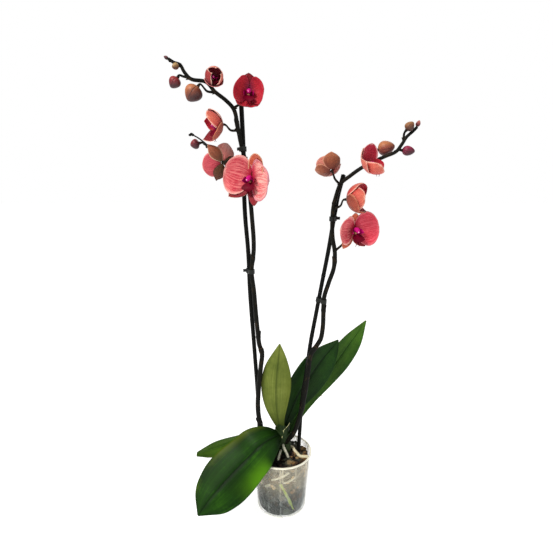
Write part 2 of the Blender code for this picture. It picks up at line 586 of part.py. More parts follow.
for name, (hand, z) in CLIPS.items():
    holds = []
    for line, radius in ((STICKS[hand], STICK_R), (SPIKES[hand], SPIKE_R * 0.87)):
        place, way = at_height(line, z)
        holds.append((place, way, radius))
    (a, way_a, r_a), (b, way_b, r_b) = holds
    across = (b - a)
    across.z = 0.0
    width = across.length
    across.normalize()
    clip = tube(name, [(*(a - way_a * 0.004), r_a + 0.0016), (*(a + way_a * 0.004), r_a + 0.0016)], 1, 3)
    ring = tube(name + "_ring", [(*(b - way_b * 0.0037), r_b + 0.0016),
                                 (*(b + way_b * 0.0037), r_b + 0.0016)], 1, 3)
    combine(clip, ring, "UNION")
    tab_way = Vector((-1.0 if hand == "left" else 1.0, 0.0, 0.0))
    for tag, heading, start, length, thick, high in (
            ("bridge", across, 0.0, width, 0.0046, 0.0064),
            ("tab", tab_way, r_a + 0.0010, 0.0055, 0.0022, 0.0048)):
        bm = bmesh.new()
        bmesh.ops.create_cube(bm, size=1.0)
        bmesh.ops.scale(bm, verts=bm.verts, vec=(length, thick, high))
        bmesh.ops.translate(bm, verts=bm.verts, vec=(start + length / 2, 0.0, 0.0))
        turn = Matrix((heading, Vector((0, 0, 1)).cross(heading), Vector((0, 0, 1)))).transposed().to_4x4()
        bmesh.ops.transform(bm, matrix=Matrix.Translation(a) @ turn, verts=bm.verts)
        combine(clip, add(name + "_" + tag, mesh_of(tag, bm)), "UNION")
    for tag, line, radius in (("stick", STICKS[hand], r_a), ("spike", SPIKES[hand], r_b)):
        cut = []
        for step in (-0.0060, -0.0030, 0.0, 0.0030, 0.0060):
            place, way = at_height(line, z + step)
            cut.append((*place, radius + 0.0005))
        combine(clip, tube(name + "_" + tag + "_bore", cut, 1, 4), "DIFFERENCE")
    paint(clip, (0.02, 0.03, 0.02), 0.4)

# ---------------------------------------------------------------- buds and blooms
for name, (foot, axis, length, radius, rgb) in BUDS.items():
    bud(name, foot, axis, length, radius, rgb)

SEPAL = (0.62, 0.20, 0.14)
PETAL = (0.72, 0.12, 0.16)
OPEN = {
    "bloom_left_2": (0.0305, 0.0228, 1.0), "bloom_left_5": (0.0470, 0.0360, 1.3),
    "bloom_right_1": (0.0345, 0.0240, 1.0), "bloom_right_4": (0.0445, 0.0350, 1.3),
}
for name, (middle, facing, top, cup, length) in BLOOMS.items():
    frame = bloom_frame(middle, facing, top)
    star = lobed(name + "_sepals", frame,
                 [(90, length, 42), (213, length * 0.95, 42), (327, length * 0.95, 42)],
                 length * 0.22, cup, 0.0)
    paint(star, SEPAL, 0.5)
    if name in OPEN:
        reach, half, size = OPEN[name]
        for word, direction in (("left", 168), ("right", 12)):
            obj = petal(name + "_petal_" + word, frame, direction, reach, half, cup, PETAL_INSET)
            paint(obj, PETAL, 0.5)
        paint(lip(name + "_lip", frame, size), (0.35, 0.01, 0.10), 0.4)
    else:
        pair = lobed(name + "_petals", frame, [(14, length * 0.98, 74), (166, length * 0.98, 74)],
                     length * 0.18, cup, PETAL_INSET)
        paint(pair, PETAL, 0.5)
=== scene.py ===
# %% [markdown]
# # Potted orchid
# A moth orchid in a clear pot: five broad leaves, roots, two flower spikes clipped to canes,
# and blooms at every stage from bud to fully open. Lengths are in metres, +Z is up, and -Y is
# the side the plant shows to the room. The imported frame is loaded first, because every piece
# below stands for one of its nodes.

# %% Load the frame
import math
import random

import bmesh
import bpy
from mathutils import Matrix, Vector, noise


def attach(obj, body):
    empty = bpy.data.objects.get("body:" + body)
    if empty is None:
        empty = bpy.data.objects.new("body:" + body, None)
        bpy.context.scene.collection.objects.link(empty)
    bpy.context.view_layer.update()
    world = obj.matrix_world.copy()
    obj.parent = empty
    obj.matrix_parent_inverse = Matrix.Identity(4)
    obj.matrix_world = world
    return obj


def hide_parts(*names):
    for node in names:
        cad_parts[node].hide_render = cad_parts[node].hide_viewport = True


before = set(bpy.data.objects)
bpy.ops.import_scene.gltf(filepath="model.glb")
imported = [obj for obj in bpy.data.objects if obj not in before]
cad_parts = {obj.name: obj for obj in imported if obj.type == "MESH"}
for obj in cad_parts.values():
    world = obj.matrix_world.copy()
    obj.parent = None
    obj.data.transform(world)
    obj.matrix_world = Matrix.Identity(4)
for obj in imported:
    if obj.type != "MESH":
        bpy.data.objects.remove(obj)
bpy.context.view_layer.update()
scene = bpy.context.scene
print("nodes in the frame:", len(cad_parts))

# %% [markdown]
# The camera comes next, so that everything after it can be judged from the right place. It
# stands a little above the pot's rim by the height of the spikes and looks down by 13 degrees.
# A short lens so near a tall plant makes the pot look smaller than the blooms.

# %% Camera
LENS, LOOK_DOWN = 29.295, 12.97  # millimetres on a 36 mm frame, degrees
EYE = (-0.0099, -0.7877, 0.6493)
camera = bpy.data.objects.new("camera", bpy.data.cameras.new("camera"))
scene.collection.objects.link(camera)
camera.data.sensor_width = 36.0
camera.data.lens = LENS
camera.location = EYE
camera.rotation_euler = (math.radians(90.0 - LOOK_DOWN), 0.0, 0.0)
scene.camera = camera
print("camera lens", camera.data.lens)

# %% [markdown]
# ## Light and floor
# Dark stems and deep reds need a light with a direction, or they go flat. One broad key light
# stands up and to the left, a weaker one fills the right, and a pale world lifts the rest. The
# floor is a plain sheet that glows as white as the world behind it, so nothing draws the eye
# from the plant. The camera sees that world at full white, and the plant is lit by a quarter of it.

# %% Light and floor
WORLD_LIGHT, FLOOR_GREY, FLOOR_GLOW = 0.24, 0.45, 0.90


def area_light(name, place, target, size, power, colour=(1.0, 1.0, 1.0)):
    """A square soft light that faces a point."""
    lamp = bpy.data.lights.new(name, "AREA")
    lamp.size = size
    lamp.energy = power
    lamp.color = colour
    holder = bpy.data.objects.new(name, lamp)
    scene.collection.objects.link(holder)
    holder.location = place
    holder.rotation_euler = (Vector(target) - Vector(place)).to_track_quat("-Z", "Y").to_euler()


area_light("key_light", (-1.3, -1.5, 2.3), (0.0, 0.0, 0.35), 0.9, 78.0, (1.0, 0.98, 0.94))
area_light("fill_light", (1.7, -1.3, 1.2), (0.0, 0.0, 0.40), 1.4, 9.0)
area_light("back_light", (0.6, 1.8, 1.9), (0.0, 0.0, 0.30), 1.4, 14.0)

world = bpy.data.worlds.new("studio")
world.use_nodes = True
sky = world.node_tree.nodes["Background"]
sky.inputs["Color"].default_value = (1.0, 1.0, 1.0, 1.0)
seen = world.node_tree.nodes.new("ShaderNodeLightPath")
level = world.node_tree.nodes.new("ShaderNodeMapRange")
level.inputs["To Min"].default_value = WORLD_LIGHT
level.inputs["To Max"].default_value = 1.0
world.node_tree.links.new(seen.outputs["Is Camera Ray"], level.inputs["Value"])
world.node_tree.links.new(level.outputs["Result"], sky.inputs["Strength"])
scene.world = world

floor_mesh = bpy.data.meshes.new("floor")
floor_mesh.from_pydata([(-9, -9, 0), (9, -9, 0), (9, 9, 0), (-9, 9, 0)], [], [(0, 1, 2, 3)])
floor = bpy.data.objects.new("floor", floor_mesh)
scene.collection.objects.link(floor)
floor_finish = bpy.data.materials.new("floor")
floor_finish.use_nodes = True
floor_shader = floor_finish.node_tree.nodes["Principled BSDF"]
floor_shader.inputs["Base Color"].default_value = (FLOOR_GREY, FLOOR_GREY, FLOOR_GREY, 1.0)
floor_shader.inputs["Roughness"].default_value = 0.8
floor_shader.inputs["Emission Color"].default_value = (1.0, 1.0, 1.0, 1.0)
floor_shader.inputs["Emission Strength"].default_value = FLOOR_GLOW
floor_mesh.materials.append(floor_finish)
scene.view_settings.view_transform = "Standard"

# %% [markdown]
# ## Writing finishes as sums
# A finish is easier to read as arithmetic than as a web of nodes. `Wire` is one output of a
# node: adding, multiplying or comparing two of them adds the Math node that does it. `Finish`
# owns one material, and its `node` method makes any other node from its type, its settings and
# the values or wires of its sockets. A colour is written as three display values, 0 to 255, and
# is made linear where a node takes it.

# %% Wire and Finish
class Wire:
    """One output of a node, written into sums like a number."""

    def __init__(self, finish, socket):
        self.finish = finish
        self.socket = socket

    def math(self, operation, *terms):
        return self.finish.node("ShaderNodeMath", {"operation": operation}, dict(enumerate(terms)))

    def __add__(self, other): return self.math("ADD", self, other)
    def __radd__(self, other): return self.math("ADD", other, self)
    def __sub__(self, other): return self.math("SUBTRACT", self, other)
    def __rsub__(self, other): return self.math("SUBTRACT", other, self)
    def __mul__(self, other): return self.math("MULTIPLY", self, other)
    def __rmul__(self, other): return self.math("MULTIPLY", other, self)
    def __pow__(self, other): return self.math("POWER", self, other)
    def __abs__(self): return self.math("ABSOLUTE", self)
    def sine(self): return self.math("SINE", self)
    def above(self, other): return self.math("MAXIMUM", self, other)
    def below(self, other): return self.math("MINIMUM", self, other)

    def ease(self, low, high, start=0.0, end=1.0):
        """A soft step: start below low, end above high."""
        return self.finish.node("ShaderNodeMapRange", {"interpolation_type": "SMOOTHSTEP"},
                                {0: self, 1: low, 2: high, 3: start, 4: end})


class Finish:
    """One procedural material."""

    def __init__(self, name, **constants):
        self.material = bpy.data.materials.new(name)
        self.material.use_nodes = True
        self.tree = self.material.node_tree
        self.shader = self.tree.nodes["Principled BSDF"]
        for socket, value in constants.items():
            self.shader.inputs[socket.replace("_", " ")].default_value = value

    def node(self, kind, settings=None, sockets=None, out=0):
        made = self.tree.nodes.new(kind)
        for key, value in (settings or {}).items():
            if key == "stops":
                band = made.color_ramp
                while len(band.elements) < len(value):
                    band.elements.new(0.5)
                for stop, (place, colour) in zip(band.elements, value):
                    stop.position = place
                    stop.color = tint(*colour)
            else:
                setattr(made, key, value)
        for key, value in (sockets or {}).items():
            self.feed(made.inputs[key], value)
        return Wire(self, made.outputs[out])

    def feed(self, socket, value):
        if isinstance(value, Wire):
            self.tree.links.new(value.socket, socket)
        elif isinstance(value, tuple):
            socket.default_value = tint(*value)
        else:
            socket.default_value = value

    def set(self, **wires):
        for socket, value in wires.items():
            self.feed(self.shader.inputs[socket.replace("_", " ")], value)
        return self

    def mark(self, name):
        """A number that the mesh carries on its points."""
        return self.node("ShaderNodeAttribute", {"attribute_name": name}, out="Fac")

    def place(self):
        return self.node("ShaderNodeTexCoord", out="Object")

    def vector(self, x, y, z):
        return self.node("ShaderNodeCombineXYZ", sockets={0: x, 1: y, 2: z})

    def noise(self, scale, vector, detail=3.0, rough=0.5):
        return self.node("ShaderNodeTexNoise", sockets={
            "Vector": vector, "Scale": scale, "Detail": detail, "Roughness": rough}, out="Fac")

    def cells(self, scale, vector, feature="F1"):
        return self.node("ShaderNodeTexVoronoi", {"feature": feature},
                         {"Vector": vector, "Scale": scale}, out="Distance")

    def ramp(self, factor, *stops):
        return self.node("ShaderNodeValToRGB", {"stops": stops}, {0: factor})

    def mix(self, factor, a, b):
        return self.node("ShaderNodeMix", {"data_type": "RGBA", "clamp_result": True},
                         {0: factor, 6: a, 7: b}, out=2)

    def bump(self, height, distance, strength=1.0):
        return self.node("ShaderNodeBump", sockets={
            "Height": height, "Distance": distance, "Strength": strength})


def tint(red, green, blue):
    """A display colour, 0 to 255 a channel, as the linear colour that nodes use."""

    def linear(c):
        c /= 255.0
        return c / 12.92 if c <= 0.04045 else ((c + 0.055) / 1.055) ** 2.4

    return (linear(red), linear(green), linear(blue), 1.0)


print("a leaf green as nodes see it:", tuple(round(c, 3) for c in tint(40, 90, 30)))

# %% [markdown]
# ## Moulding pieces
# Leaves, petals, stems and buds are all sheets bent through space: one number runs along the
# piece, another across it. `Mould` lays such a sheet point by point and writes both numbers on
# the mesh, so that a finish can draw veins that follow the piece wherever it bends. `tone` is a
# third number, free for each piece to use, and `look` picks the finish of the next sheet when one
# piece has more than one.

# %% Mould
class Mould:
    """Gathers the points and faces of one piece."""

    def __init__(self):
        self.points = []
        self.faces = []
        self.marks = {"along": [], "across": [], "tone": []}
        self.look = 0
        self.looks = []

    def point(self, at, along=0.0, across=0.0, tone=0.5):
        self.points.append(tuple(at))
        for name, value in zip(("along", "across", "tone"), (along, across, tone)):
            self.marks[name].append(value)
        return len(self.points) - 1

    def patch(self, place, n_along, n_across, tone=0.5, closed=False):
        """A sheet. `place` gets 0..1 along and -1..1 across; a closed sheet is a tube."""
        lines = []
        for i in range(n_along + 1):
            t = i / n_along
            line = []
            for j in range(n_across + (0 if closed else 1)):
                s = 2.0 * j / n_across - 1.0
                level = tone(t, s) if callable(tone) else tone
                line.append(self.point(place(t, s), t, s, level))
            lines.append(line)
        for low, high in zip(lines, lines[1:]):
            for j in range(n_across):
                k = (j + 1) % len(low)
                self.faces.append((low[j], low[k], high[k], high[j]))
        self.looks += [self.look] * (len(self.faces) - len(self.looks))
        return lines

    def cap(self, ring, at, along, tone=0.5, flip=False):
        """Close a ring of points with a fan."""
        tip = self.point(at, along, 0.0, tone)
        for j in range(len(ring)):
            k = (j + 1) % len(ring)
            self.faces.append((ring[k], ring[j], tip) if flip else (ring[j], ring[k], tip))

    def piece(self, name, finishes, nodes, slot, thick=0.0, smooth=True):
        """Make the object, with its thickness and finishes, in place of its CAD nodes."""
        mesh = bpy.data.meshes.new(name)
        mesh.from_pydata(self.points, [], self.faces)
        for mark, values in self.marks.items():
            mesh.attributes.new(mark, "FLOAT", "POINT").data.foreach_set("value", values)
        if smooth:
            mesh.shade_smooth()
        for finish in finishes:
            mesh.materials.append(finish.material)
        if max(self.looks, default=0):
            mesh.polygons.foreach_set("material_index", self.looks)
        made = bpy.data.objects.new(name, mesh)
        scene.collection.objects.link(made)
        if thick:
            shell = made.modifiers.new("thickness", "SOLIDIFY")
            shell.thickness = thick
            shell.offset = 0.0
            shell.material_offset = 1 if len(finishes) > 1 else 0
        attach(made, "root")
        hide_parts(*nodes)
        return made


def flow(rows, t):
    """A smooth curve through rows of numbers, read at t from 0 to 1."""
    rows = [Vector(row) for row in rows]
    last = len(rows) - 1
    place = min(max(t, 0.0), 1.0) * last
    i = min(int(place), last - 1)
    f = place - i
    gaps = [(Vector(b[:3]) - Vector(a[:3])).length for a, b in zip(rows, rows[1:])]

    def lean(j):
        if j == 0:
            return (rows[1] - rows[0]) / gaps[0]
        if j == last:
            return (rows[last] - rows[last - 1]) / gaps[last - 1]
        before = (rows[j] - rows[j - 1]) / gaps[j - 1]
        after = (rows[j + 1] - rows[j]) / gaps[j]
        return (before * gaps[j] + after * gaps[j - 1]) / (gaps[j] + gaps[j - 1])

    return ((2 * f ** 3 - 3 * f ** 2 + 1) * rows[i] + (f ** 3 - 2 * f ** 2 + f) * gaps[i] * lean(i)
            + (3 * f ** 2 - 2 * f ** 3) * rows[i + 1] + (f ** 3 - f ** 2) * gaps[i] * lean(i + 1))


def rod(mould, rows, steps=8, around=14, swell=None, tone=0.5):
    """A round stem through rows of (x, y, z, radius); `swell(t, turn)` scales its radius."""
    count = (len(rows) - 1) * steps
    spots = [flow(rows, i / count) for i in range(count + 1)]
    centres = [Vector(s[:3]) for s in spots]
    ways = [(centres[min(i + 1, count)] - centres[max(i - 1, 0)]).normalized() for i in range(count + 1)]
    side = ways[0].orthogonal().normalized()
    sides = []
    for way in ways:
        side = (side - way * side.dot(way)).normalized()
        sides.append(side)

    def place(t, s):
        i = round(t * count)
        turn = s * math.pi
        radius = spots[i][3] * (swell(t, turn) if swell else 1.0)
        return centres[i] + (sides[i] * math.cos(turn) + ways[i].cross(sides[i]) * math.sin(turn)) * radius

    rings = mould.patch(place, count, around, tone, closed=True)
    dome = 0.35  # height of an end's dome, in radii
    mould.cap(rings[0], centres[0] - ways[0] * spots[0][3] * dome, 0.0, tone, flip=True)
    mould.cap(rings[-1], centres[-1] + ways[-1] * spots[-1][3] * dome, 1.0, tone)


def lump(mould, centre, size, turn=None, around=16, up=10, tone=0.5, rough=0.0, seed=0.0):
    """An ellipsoid, knobbly if wanted."""
    turn = turn or Matrix.Identity(3)

    def place(t, s):
        lat = (t - 0.5) * math.pi * 0.98
        level = math.cos(lat)
        spot = Vector((level * math.cos(s * math.pi), level * math.sin(s * math.pi), math.sin(lat)))
        if rough:
            spot *= 1.0 + rough * noise.noise(spot * 1.7 + Vector((seed, seed * 2, 0)))
        return Vector(centre) + turn @ Vector((spot.x * size[0], spot.y * size[1], spot.z * size[2]))

    rings = mould.patch(place, up, around, tone, closed=True)
    mould.cap(rings[0], place(0.0, 0.0).lerp(place(0.0, 1.0 - 1e-9), 0.5), 0.0, tone, flip=True)
    mould.cap(rings[-1], place(1.0, 0.0).lerp(place(1.0, 1.0 - 1e-9), 0.5), 1.0, tone)


print("helpers ready")

# %% [markdown]
# ## Leaves
# A moth orchid's leaf is thick and leathery, with one sunken midrib, faint veins that run its
# whole length and a slightly pale, sharp margin. Each is a sheet bent along rows of points, with
# a keel that lifts both halves, then given its 2 mm of flesh. The underside is paler and has its
# own finish, which the thickness puts on the far face.

# %% Leaf finish
def leaf_finish(name, deep, body, bright, rib, seed, under=False, stain=None, painted_backlight=0.0):
    """Green flesh with a rib, long veins, mottling, a dark foot and a pale margin.

    `stain` is a patch of another tint on one half: where it starts and is full, its strength, its
    tint. The last number is how strongly one half of the blade is painted bright, as light
    shining through it. A band along each half is painted lighter as lit flesh, and the sunken
    midrib is painted dark as shade.
    """
    f = Finish(name, Specular_IOR_Level=0.10)
    along, across = f.mark("along"), f.mark("across")
    side = abs(across)
    place = f.place()
    broad = f.noise(14.0, place, 4.0, 0.55)
    fine = f.noise(190.0, place, 3.0, 0.6)
    veins = f.noise(1.0, f.vector(across * 26.0, along * 1.4, seed), 3.0, 0.65)
    veins_fine = f.noise(1.0, f.vector(across * 95.0, along * 5.0, seed + 3.0), 2.0, 0.5)
    level = (broad * 0.9 + veins * 0.55 + fine * 0.18 - 0.32).ease(0.15, 0.95)
    colour = f.ramp(level, (0.0, deep), (0.55, body), (1.0, bright))
    # painted light: a lighter band along each half of the blade, where the flesh is lit
    painted_light_band = (1.0 - abs(side - 0.42) * 2.6).above(0.0) * broad
    colour = f.mix(painted_light_band * (0.35 if not under else 0.2), colour, bright)
    if stain:
        start, end, strength, stain_tint = stain
        patch = across.ease(start, end) * (f.noise(9.0, place, 5.0, 0.6)).ease(0.42, 0.62)
        colour = f.mix(patch * strength, colour, stain_tint)
    # painted light: one half of the blade is painted bright yellow-green, as light shining through it
    if painted_backlight:
        backlit_zone = across.ease(0.20, 0.95) * along.ease(0.25, 0.42) * along.ease(0.45, 0.70, 1.0, 0.0)
        colour = f.mix(backlit_zone * painted_backlight * (broad + 0.35).below(1.0), colour, (88, 146, 10))
    colour = f.mix(along.ease(0.04, 0.26, 0.85, 0.0), colour, deep)
    # painted shade: a band beside the sunken midrib is darkened, and the groove takes the rib tint, which on
    # the top finishes is near-black shade
    groove = (1.0 - side * 30.0).above(0.0)
    shade = (1.0 - abs(side - 0.035) * 24.0).above(0.0)
    colour = f.mix(shade * 0.40, colour, deep)
    colour = f.mix(groove * 0.75, colour, rib)
    colour = f.mix(side.ease(0.965, 0.995) * (0.45 if not under else 0.0), colour, bright)
    spots = f.cells(60.0, place).ease(0.05, 0.16, 1.0, 0.0) * f.noise(30.0, place).ease(0.55, 0.7)
    colour = f.mix(spots * (0.30 if not under else 0.12), colour, rib)
    f.set(Base_Color=colour,
          Roughness=(0.34 if not under else 0.52) + fine * 0.20 + veins_fine * 0.06)
    height = veins * 0.5 + veins_fine * 0.15 + fine * 0.08 - groove * 0.5
    f.set(Normal=f.bump(height, 0.0011, 0.50 if not under else 0.22))
    return f


leaf_front = leaf_finish("leaf_front_top", (6, 24, 2), (18, 50, 6), (50, 98, 12), (6, 20, 3), 1.3,
                         stain=(-0.60, -1.0, 0.40, (104, 118, 24)), painted_backlight=0.75)
leaf_dark = leaf_finish("leaf_dark_top", (6, 24, 5), (20, 52, 11), (50, 92, 22), (6, 18, 8), 2.7)
leaf_far = leaf_finish("leaf_far_top", (22, 50, 10), (50, 88, 20), (92, 128, 36), (14, 26, 16), 4.1)
leaf_low = leaf_finish("leaf_low_top", (26, 50, 8), (54, 86, 18), (92, 116, 34), (30, 50, 14), 5.9,
                       stain=(0.2, 0.9, 0.7, (116, 98, 46)))
leaf_under = leaf_finish("leaf_under", (56, 70, 20), (98, 110, 44), (134, 140, 72), (44, 54, 16), 7.7,
                         under=True, stain=(-0.2, -1.0, 0.45, (96, 104, 30)))
leaf_under_dark = leaf_finish("leaf_under_dark", (34, 56, 14), (60, 84, 26), (92, 112, 40), (98, 116, 46),
                              8.8, under=True)
print("leaf finishes:", [m.name for m in bpy.data.materials if m.name.startswith("leaf")])

# %% Leaves
LEAF_THICK = 0.0020
RIB_DEPTH, RIB_WIDTH = 0.0014, 0.055  # metres, share of half the width
# Each leaf: rows of (x, y, z, half width) from foot to tip, the way its width points at both
# ends, how much it folds up, its finishes below and above, and the height of its waves.
LEAVES = {
    "leaf_front_left": dict(
        rows=[(-0.003, -0.005, 0.154, 0.008), (-0.0185, -0.031, 0.163, 0.025),
              (-0.0405, -0.046, 0.156, 0.038), (-0.064, -0.0535, 0.1345, 0.0435),
              (-0.0895, -0.065, 0.113, 0.0475), (-0.1145, -0.0775, 0.09, 0.044),
              (-0.135, -0.0885, 0.0695, 0.03), (-0.1505, -0.0975, 0.0505, 0.0015)],
        side_a=(0.55, -0.4, -0.75), side_b=(0.86, -0.36, -0.35), fold=0.14,
        finishes=(leaf_under_dark, leaf_front), slot="leaf_green", wave=0.0012),
    "leaf_back_left": dict(
        rows=[(-0.002, 0.004, 0.136, 0.007), (-0.03, 0.015, 0.139, 0.01),
              (-0.062, 0.021, 0.134, 0.016), (-0.1, 0.022, 0.1205, 0.021),
              (-0.14, 0.02, 0.106, 0.021), (-0.171, 0.019, 0.095, 0.006)],
        side_a=(0.0, -1.0, 0.1), side_b=(0.05, -1.0, -0.15), fold=0.16,
        finishes=(leaf_under_dark, leaf_low), slot="leaf_green", wave=0.001),
    "leaf_centre": dict(
        rows=[(-0.002, -0.001, 0.166, 0.007), (-0.007, -0.009, 0.19, 0.013),
              (-0.0105, -0.014, 0.222, 0.0225), (-0.011, -0.018, 0.255, 0.0275),
              (-0.009, -0.021, 0.295, 0.024), (-0.006, -0.022, 0.325, 0.013),
              (-0.004, -0.02, 0.347, 0.001)],
        side_a=(-1.0, 0.0, 0.0), side_b=(-1.0, 0.1, 0.0), fold=0.22,
        finishes=(leaf_far, leaf_under), slot="leaf_underside", wave=0.0008, rib=-1.0),
    "leaf_right_front": dict(
        rows=[(0.006, 0.003, 0.166, 0.006), (0.018, 0.007, 0.198, 0.014),
              (0.0325, 0.009, 0.233, 0.028), (0.0545, 0.01, 0.269, 0.033),
              (0.079, 0.01, 0.307, 0.0265), (0.099, 0.01, 0.333, 0.01),
              (0.106, 0.01, 0.343, 0.0012)],
        side_a=(-0.8, -0.15, 0.5), side_b=(-0.85, -0.1, 0.5), fold=-0.12,
        finishes=(leaf_under_dark, leaf_dark), slot="leaf_green", wave=0.0012),
    "leaf_right_back": dict(
        rows=[(0.011, 0.005, 0.146, 0.006), (0.029, 0.018, 0.18, 0.011),
              (0.053, 0.027, 0.2155, 0.016), (0.083, 0.031, 0.254, 0.0205),
              (0.1115, 0.032, 0.2955, 0.0235), (0.1395, 0.032, 0.339, 0.017),
              (0.161, 0.031, 0.374, 0.0012)],
        side_a=(-0.75, -0.15, 0.5), side_b=(-0.85, -0.1, 0.5), fold=-0.16,
        finishes=(leaf_under_dark, leaf_far), slot="leaf_green", wave=0.0012),
}


def leaf(name, rows, side_a, side_b, fold, finishes, slot, wave, rib=1.0):
    """One leaf: width turns from side_a at its foot to side_b at its tip."""
    side_a, side_b = Vector(side_a).normalized(), Vector(side_b).normalized()
    sheet = Mould()

    def place(t, s):
        row = flow(rows, t)
        ahead = Vector(flow(rows, min(t + 0.02, 1.0))[:3]) - Vector(flow(rows, max(t - 0.02, 0.0))[:3])
        side = side_a.lerp(side_b, t)
        side = (side - ahead * side.dot(ahead) / ahead.length_squared).normalized()
        up = side.cross(ahead.normalized())
        half = max(row[3], 0.0008)
        lift = fold * half * abs(s) ** 1.4
        lift += rib * RIB_DEPTH * math.exp(-(s / RIB_WIDTH) ** 2) * min(1.0, half / 0.012)
        lift += wave * math.sin(9.0 * t + 2.2 * s) * s * s * min(1.0, half / 0.02)
        return Vector(row[:3]) + side * half * s + up * lift

    sheet.patch(place, 72, 28)
    return sheet.piece(name + "_blade", finishes, [name], slot, thick=LEAF_THICK)


for name, facts in LEAVES.items():
    made = leaf(name, **facts)
    print(made.name, "faces", len(made.data.polygons))

# %% [markdown]
# ## Crown and roots
# The leaves clasp a short stem in two ranks, so the crown is a stack of overlapping sheaths, each
# with a pale dry edge. Orchid roots are thick cords with a chalky skin that turns green when wet,
# a little knobbly where they bend. Both are tubes whose radius follows a noise, seeded so that
# they come out the same each time.

# %% Crown
sheath = Finish("crown_sheaths", Specular_IOR_Level=0.22)
_place, _tone, _along = sheath.place(), sheath.mark("tone"), sheath.mark("along")
_grain = sheath.noise(1.0, sheath.vector(sheath.mark("across") * 30.0, _along * 3.0, _tone), 4.0, 0.6)
_colour = sheath.ramp(_grain + sheath.noise(45.0, _place) * 0.3 - 0.15,
                      (0.2, (10, 22, 6)), (0.55, (28, 48, 12)), (0.9, (58, 76, 24)))
_colour = sheath.mix(_tone.ease(0.80, 0.98), _colour, (206, 204, 150))
sheath.set(Base_Color=_colour, Roughness=0.38 + _grain * 0.25, Normal=sheath.bump(_grain, 0.0008, 0.6))

crown = Mould()
lump(crown, (0.0020, 0.0010, 0.1400), (0.0132, 0.0086, 0.0350), around=28, up=16, tone=0.2,
     rough=0.10, seed=2.0)


def sheath_cup(hand, foot, top, girth, lean, seed, edge=0.83):
    """One leaf base clasping the stem: a half pipe, open on the far side, with a pale rim."""

    def place(t, s):
        turn = s * 1.9
        z = foot + (top - foot) * t - 0.010 * (1.0 - math.cos(turn)) * t
        reach = girth * (1.0 + 0.10 * math.sin(5.0 * t + seed)) * (1.0 - 0.12 * t)
        out = Vector((hand * math.cos(turn) * reach, math.sin(turn) * reach * 0.70, z))
        return out + Vector((0.002 + hand * lean * t, 0.001, 0.0))

    crown.patch(place, 14, 20, tone=lambda t, s: max(0.3 * t, (abs(s) > 0.88 or t > 0.97) * edge))


for i in range(6):
    hand = -1 if i % 2 else 1
    sheath_cup(hand, 0.112 + 0.008 * i, 0.140 + 0.009 * i, 0.0140 - 0.0006 * i, 0.004, 1.7 * i,
               edge=0.96 if i == 4 else 0.80)
crown_piece = crown.piece("crown_stem", [sheath], ["crown"], "crown_green", thick=0.0008)
print("crown faces", len(crown_piece.data.polygons))

# %% Root finishes
def root_finish(name, skin, dry, green, seed):
    """Chalky skin over green flesh, scuffed and dusty with bark."""
    f = Finish(name, Specular_IOR_Level=0.25)
    place = f.place()
    broad = f.noise(70.0, place, 4.0, 0.6)
    fine = f.noise(420.0, place, 3.0, 0.65)
    rings = f.noise(1.0, f.vector(f.mark("along") * 30.0, f.mark("across") * 1.5, seed), 3.0, 0.6)
    colour = f.ramp(broad * 0.7 + fine * 0.3, (0.28, dry), (0.46, skin), (0.74, skin))
    colour = f.mix(rings.ease(0.52, 0.66) * 0.35, colour, green)
    colour = f.mix(f.cells(240.0, place).ease(0.1, 0.28, 1.0, 0.0) * 0.4, colour, dry)
    return f.set(Base_Color=colour, Roughness=0.62 + fine * 0.25,
                 Normal=f.bump(fine * 0.6 + rings * 0.4, 0.0007, 0.7))


root_cream = root_finish("root_cream", (226, 216, 182), (150, 132, 92), (168, 172, 110), 1.0)
root_white = root_finish("root_white", (222, 220, 200), (156, 150, 122), (170, 178, 130), 2.0)
root_green = root_finish("root_green", (158, 176, 78), (104, 120, 48), (186, 196, 110), 3.0)
root_tan = root_finish("root_tan", (168, 140, 96), (90, 66, 40), (130, 120, 70), 4.0)

# %% Roots
POT_TOP_R, POT_BASE_R, POT_HEIGHT, POT_WALL, POT_LIP = 0.0572, 0.0480, 0.1180, 0.0012, 0.0030
ROOT_GAP = 0.0005  # between a root and the wall


def inside_radius(z):
    """Radius of the inner face of the pot wall at height z."""
    return POT_BASE_R + (POT_TOP_R - POT_BASE_R) * z / (POT_HEIGHT - POT_LIP) - POT_WALL


# Roots over the bark: rows of (x, y, z, radius), and the finish.
ROOTS = {
    "root_top_right": ([(0.008, 0.006, 0.118, 0.0029), (0.02, 0.012, 0.116, 0.0029),
                        (0.0275, -0.001, 0.1145, 0.0029), (0.037, -0.012, 0.1115, 0.0029),
                        (0.051, -0.012, 0.1105, 0.0026)], root_cream),
    "root_top_front": ([(0.002, -0.001, 0.136, 0.0024), (0.004, -0.012, 0.131, 0.0024),
                        (0.01, -0.016, 0.12, 0.0024), (0.015, -0.018, 0.107, 0.0018)], root_white),
    "root_top_left": ([(0.0, -0.002, 0.122, 0.0022), (-0.003, -0.015, 0.1215, 0.0022),
                       (-0.006, -0.0235, 0.116, 0.0022), (-0.008, -0.027, 0.105, 0.0016)], root_white),
    "root_aerial": ([(0.006, 0.004, 0.128, 0.0026), (0.02, 0.022, 0.138, 0.0026),
                     (0.042, 0.042, 0.172, 0.0026), (0.064, 0.046, 0.203, 0.0024),
                     (0.081, 0.045, 0.212, 0.0016)], root_tan),
}
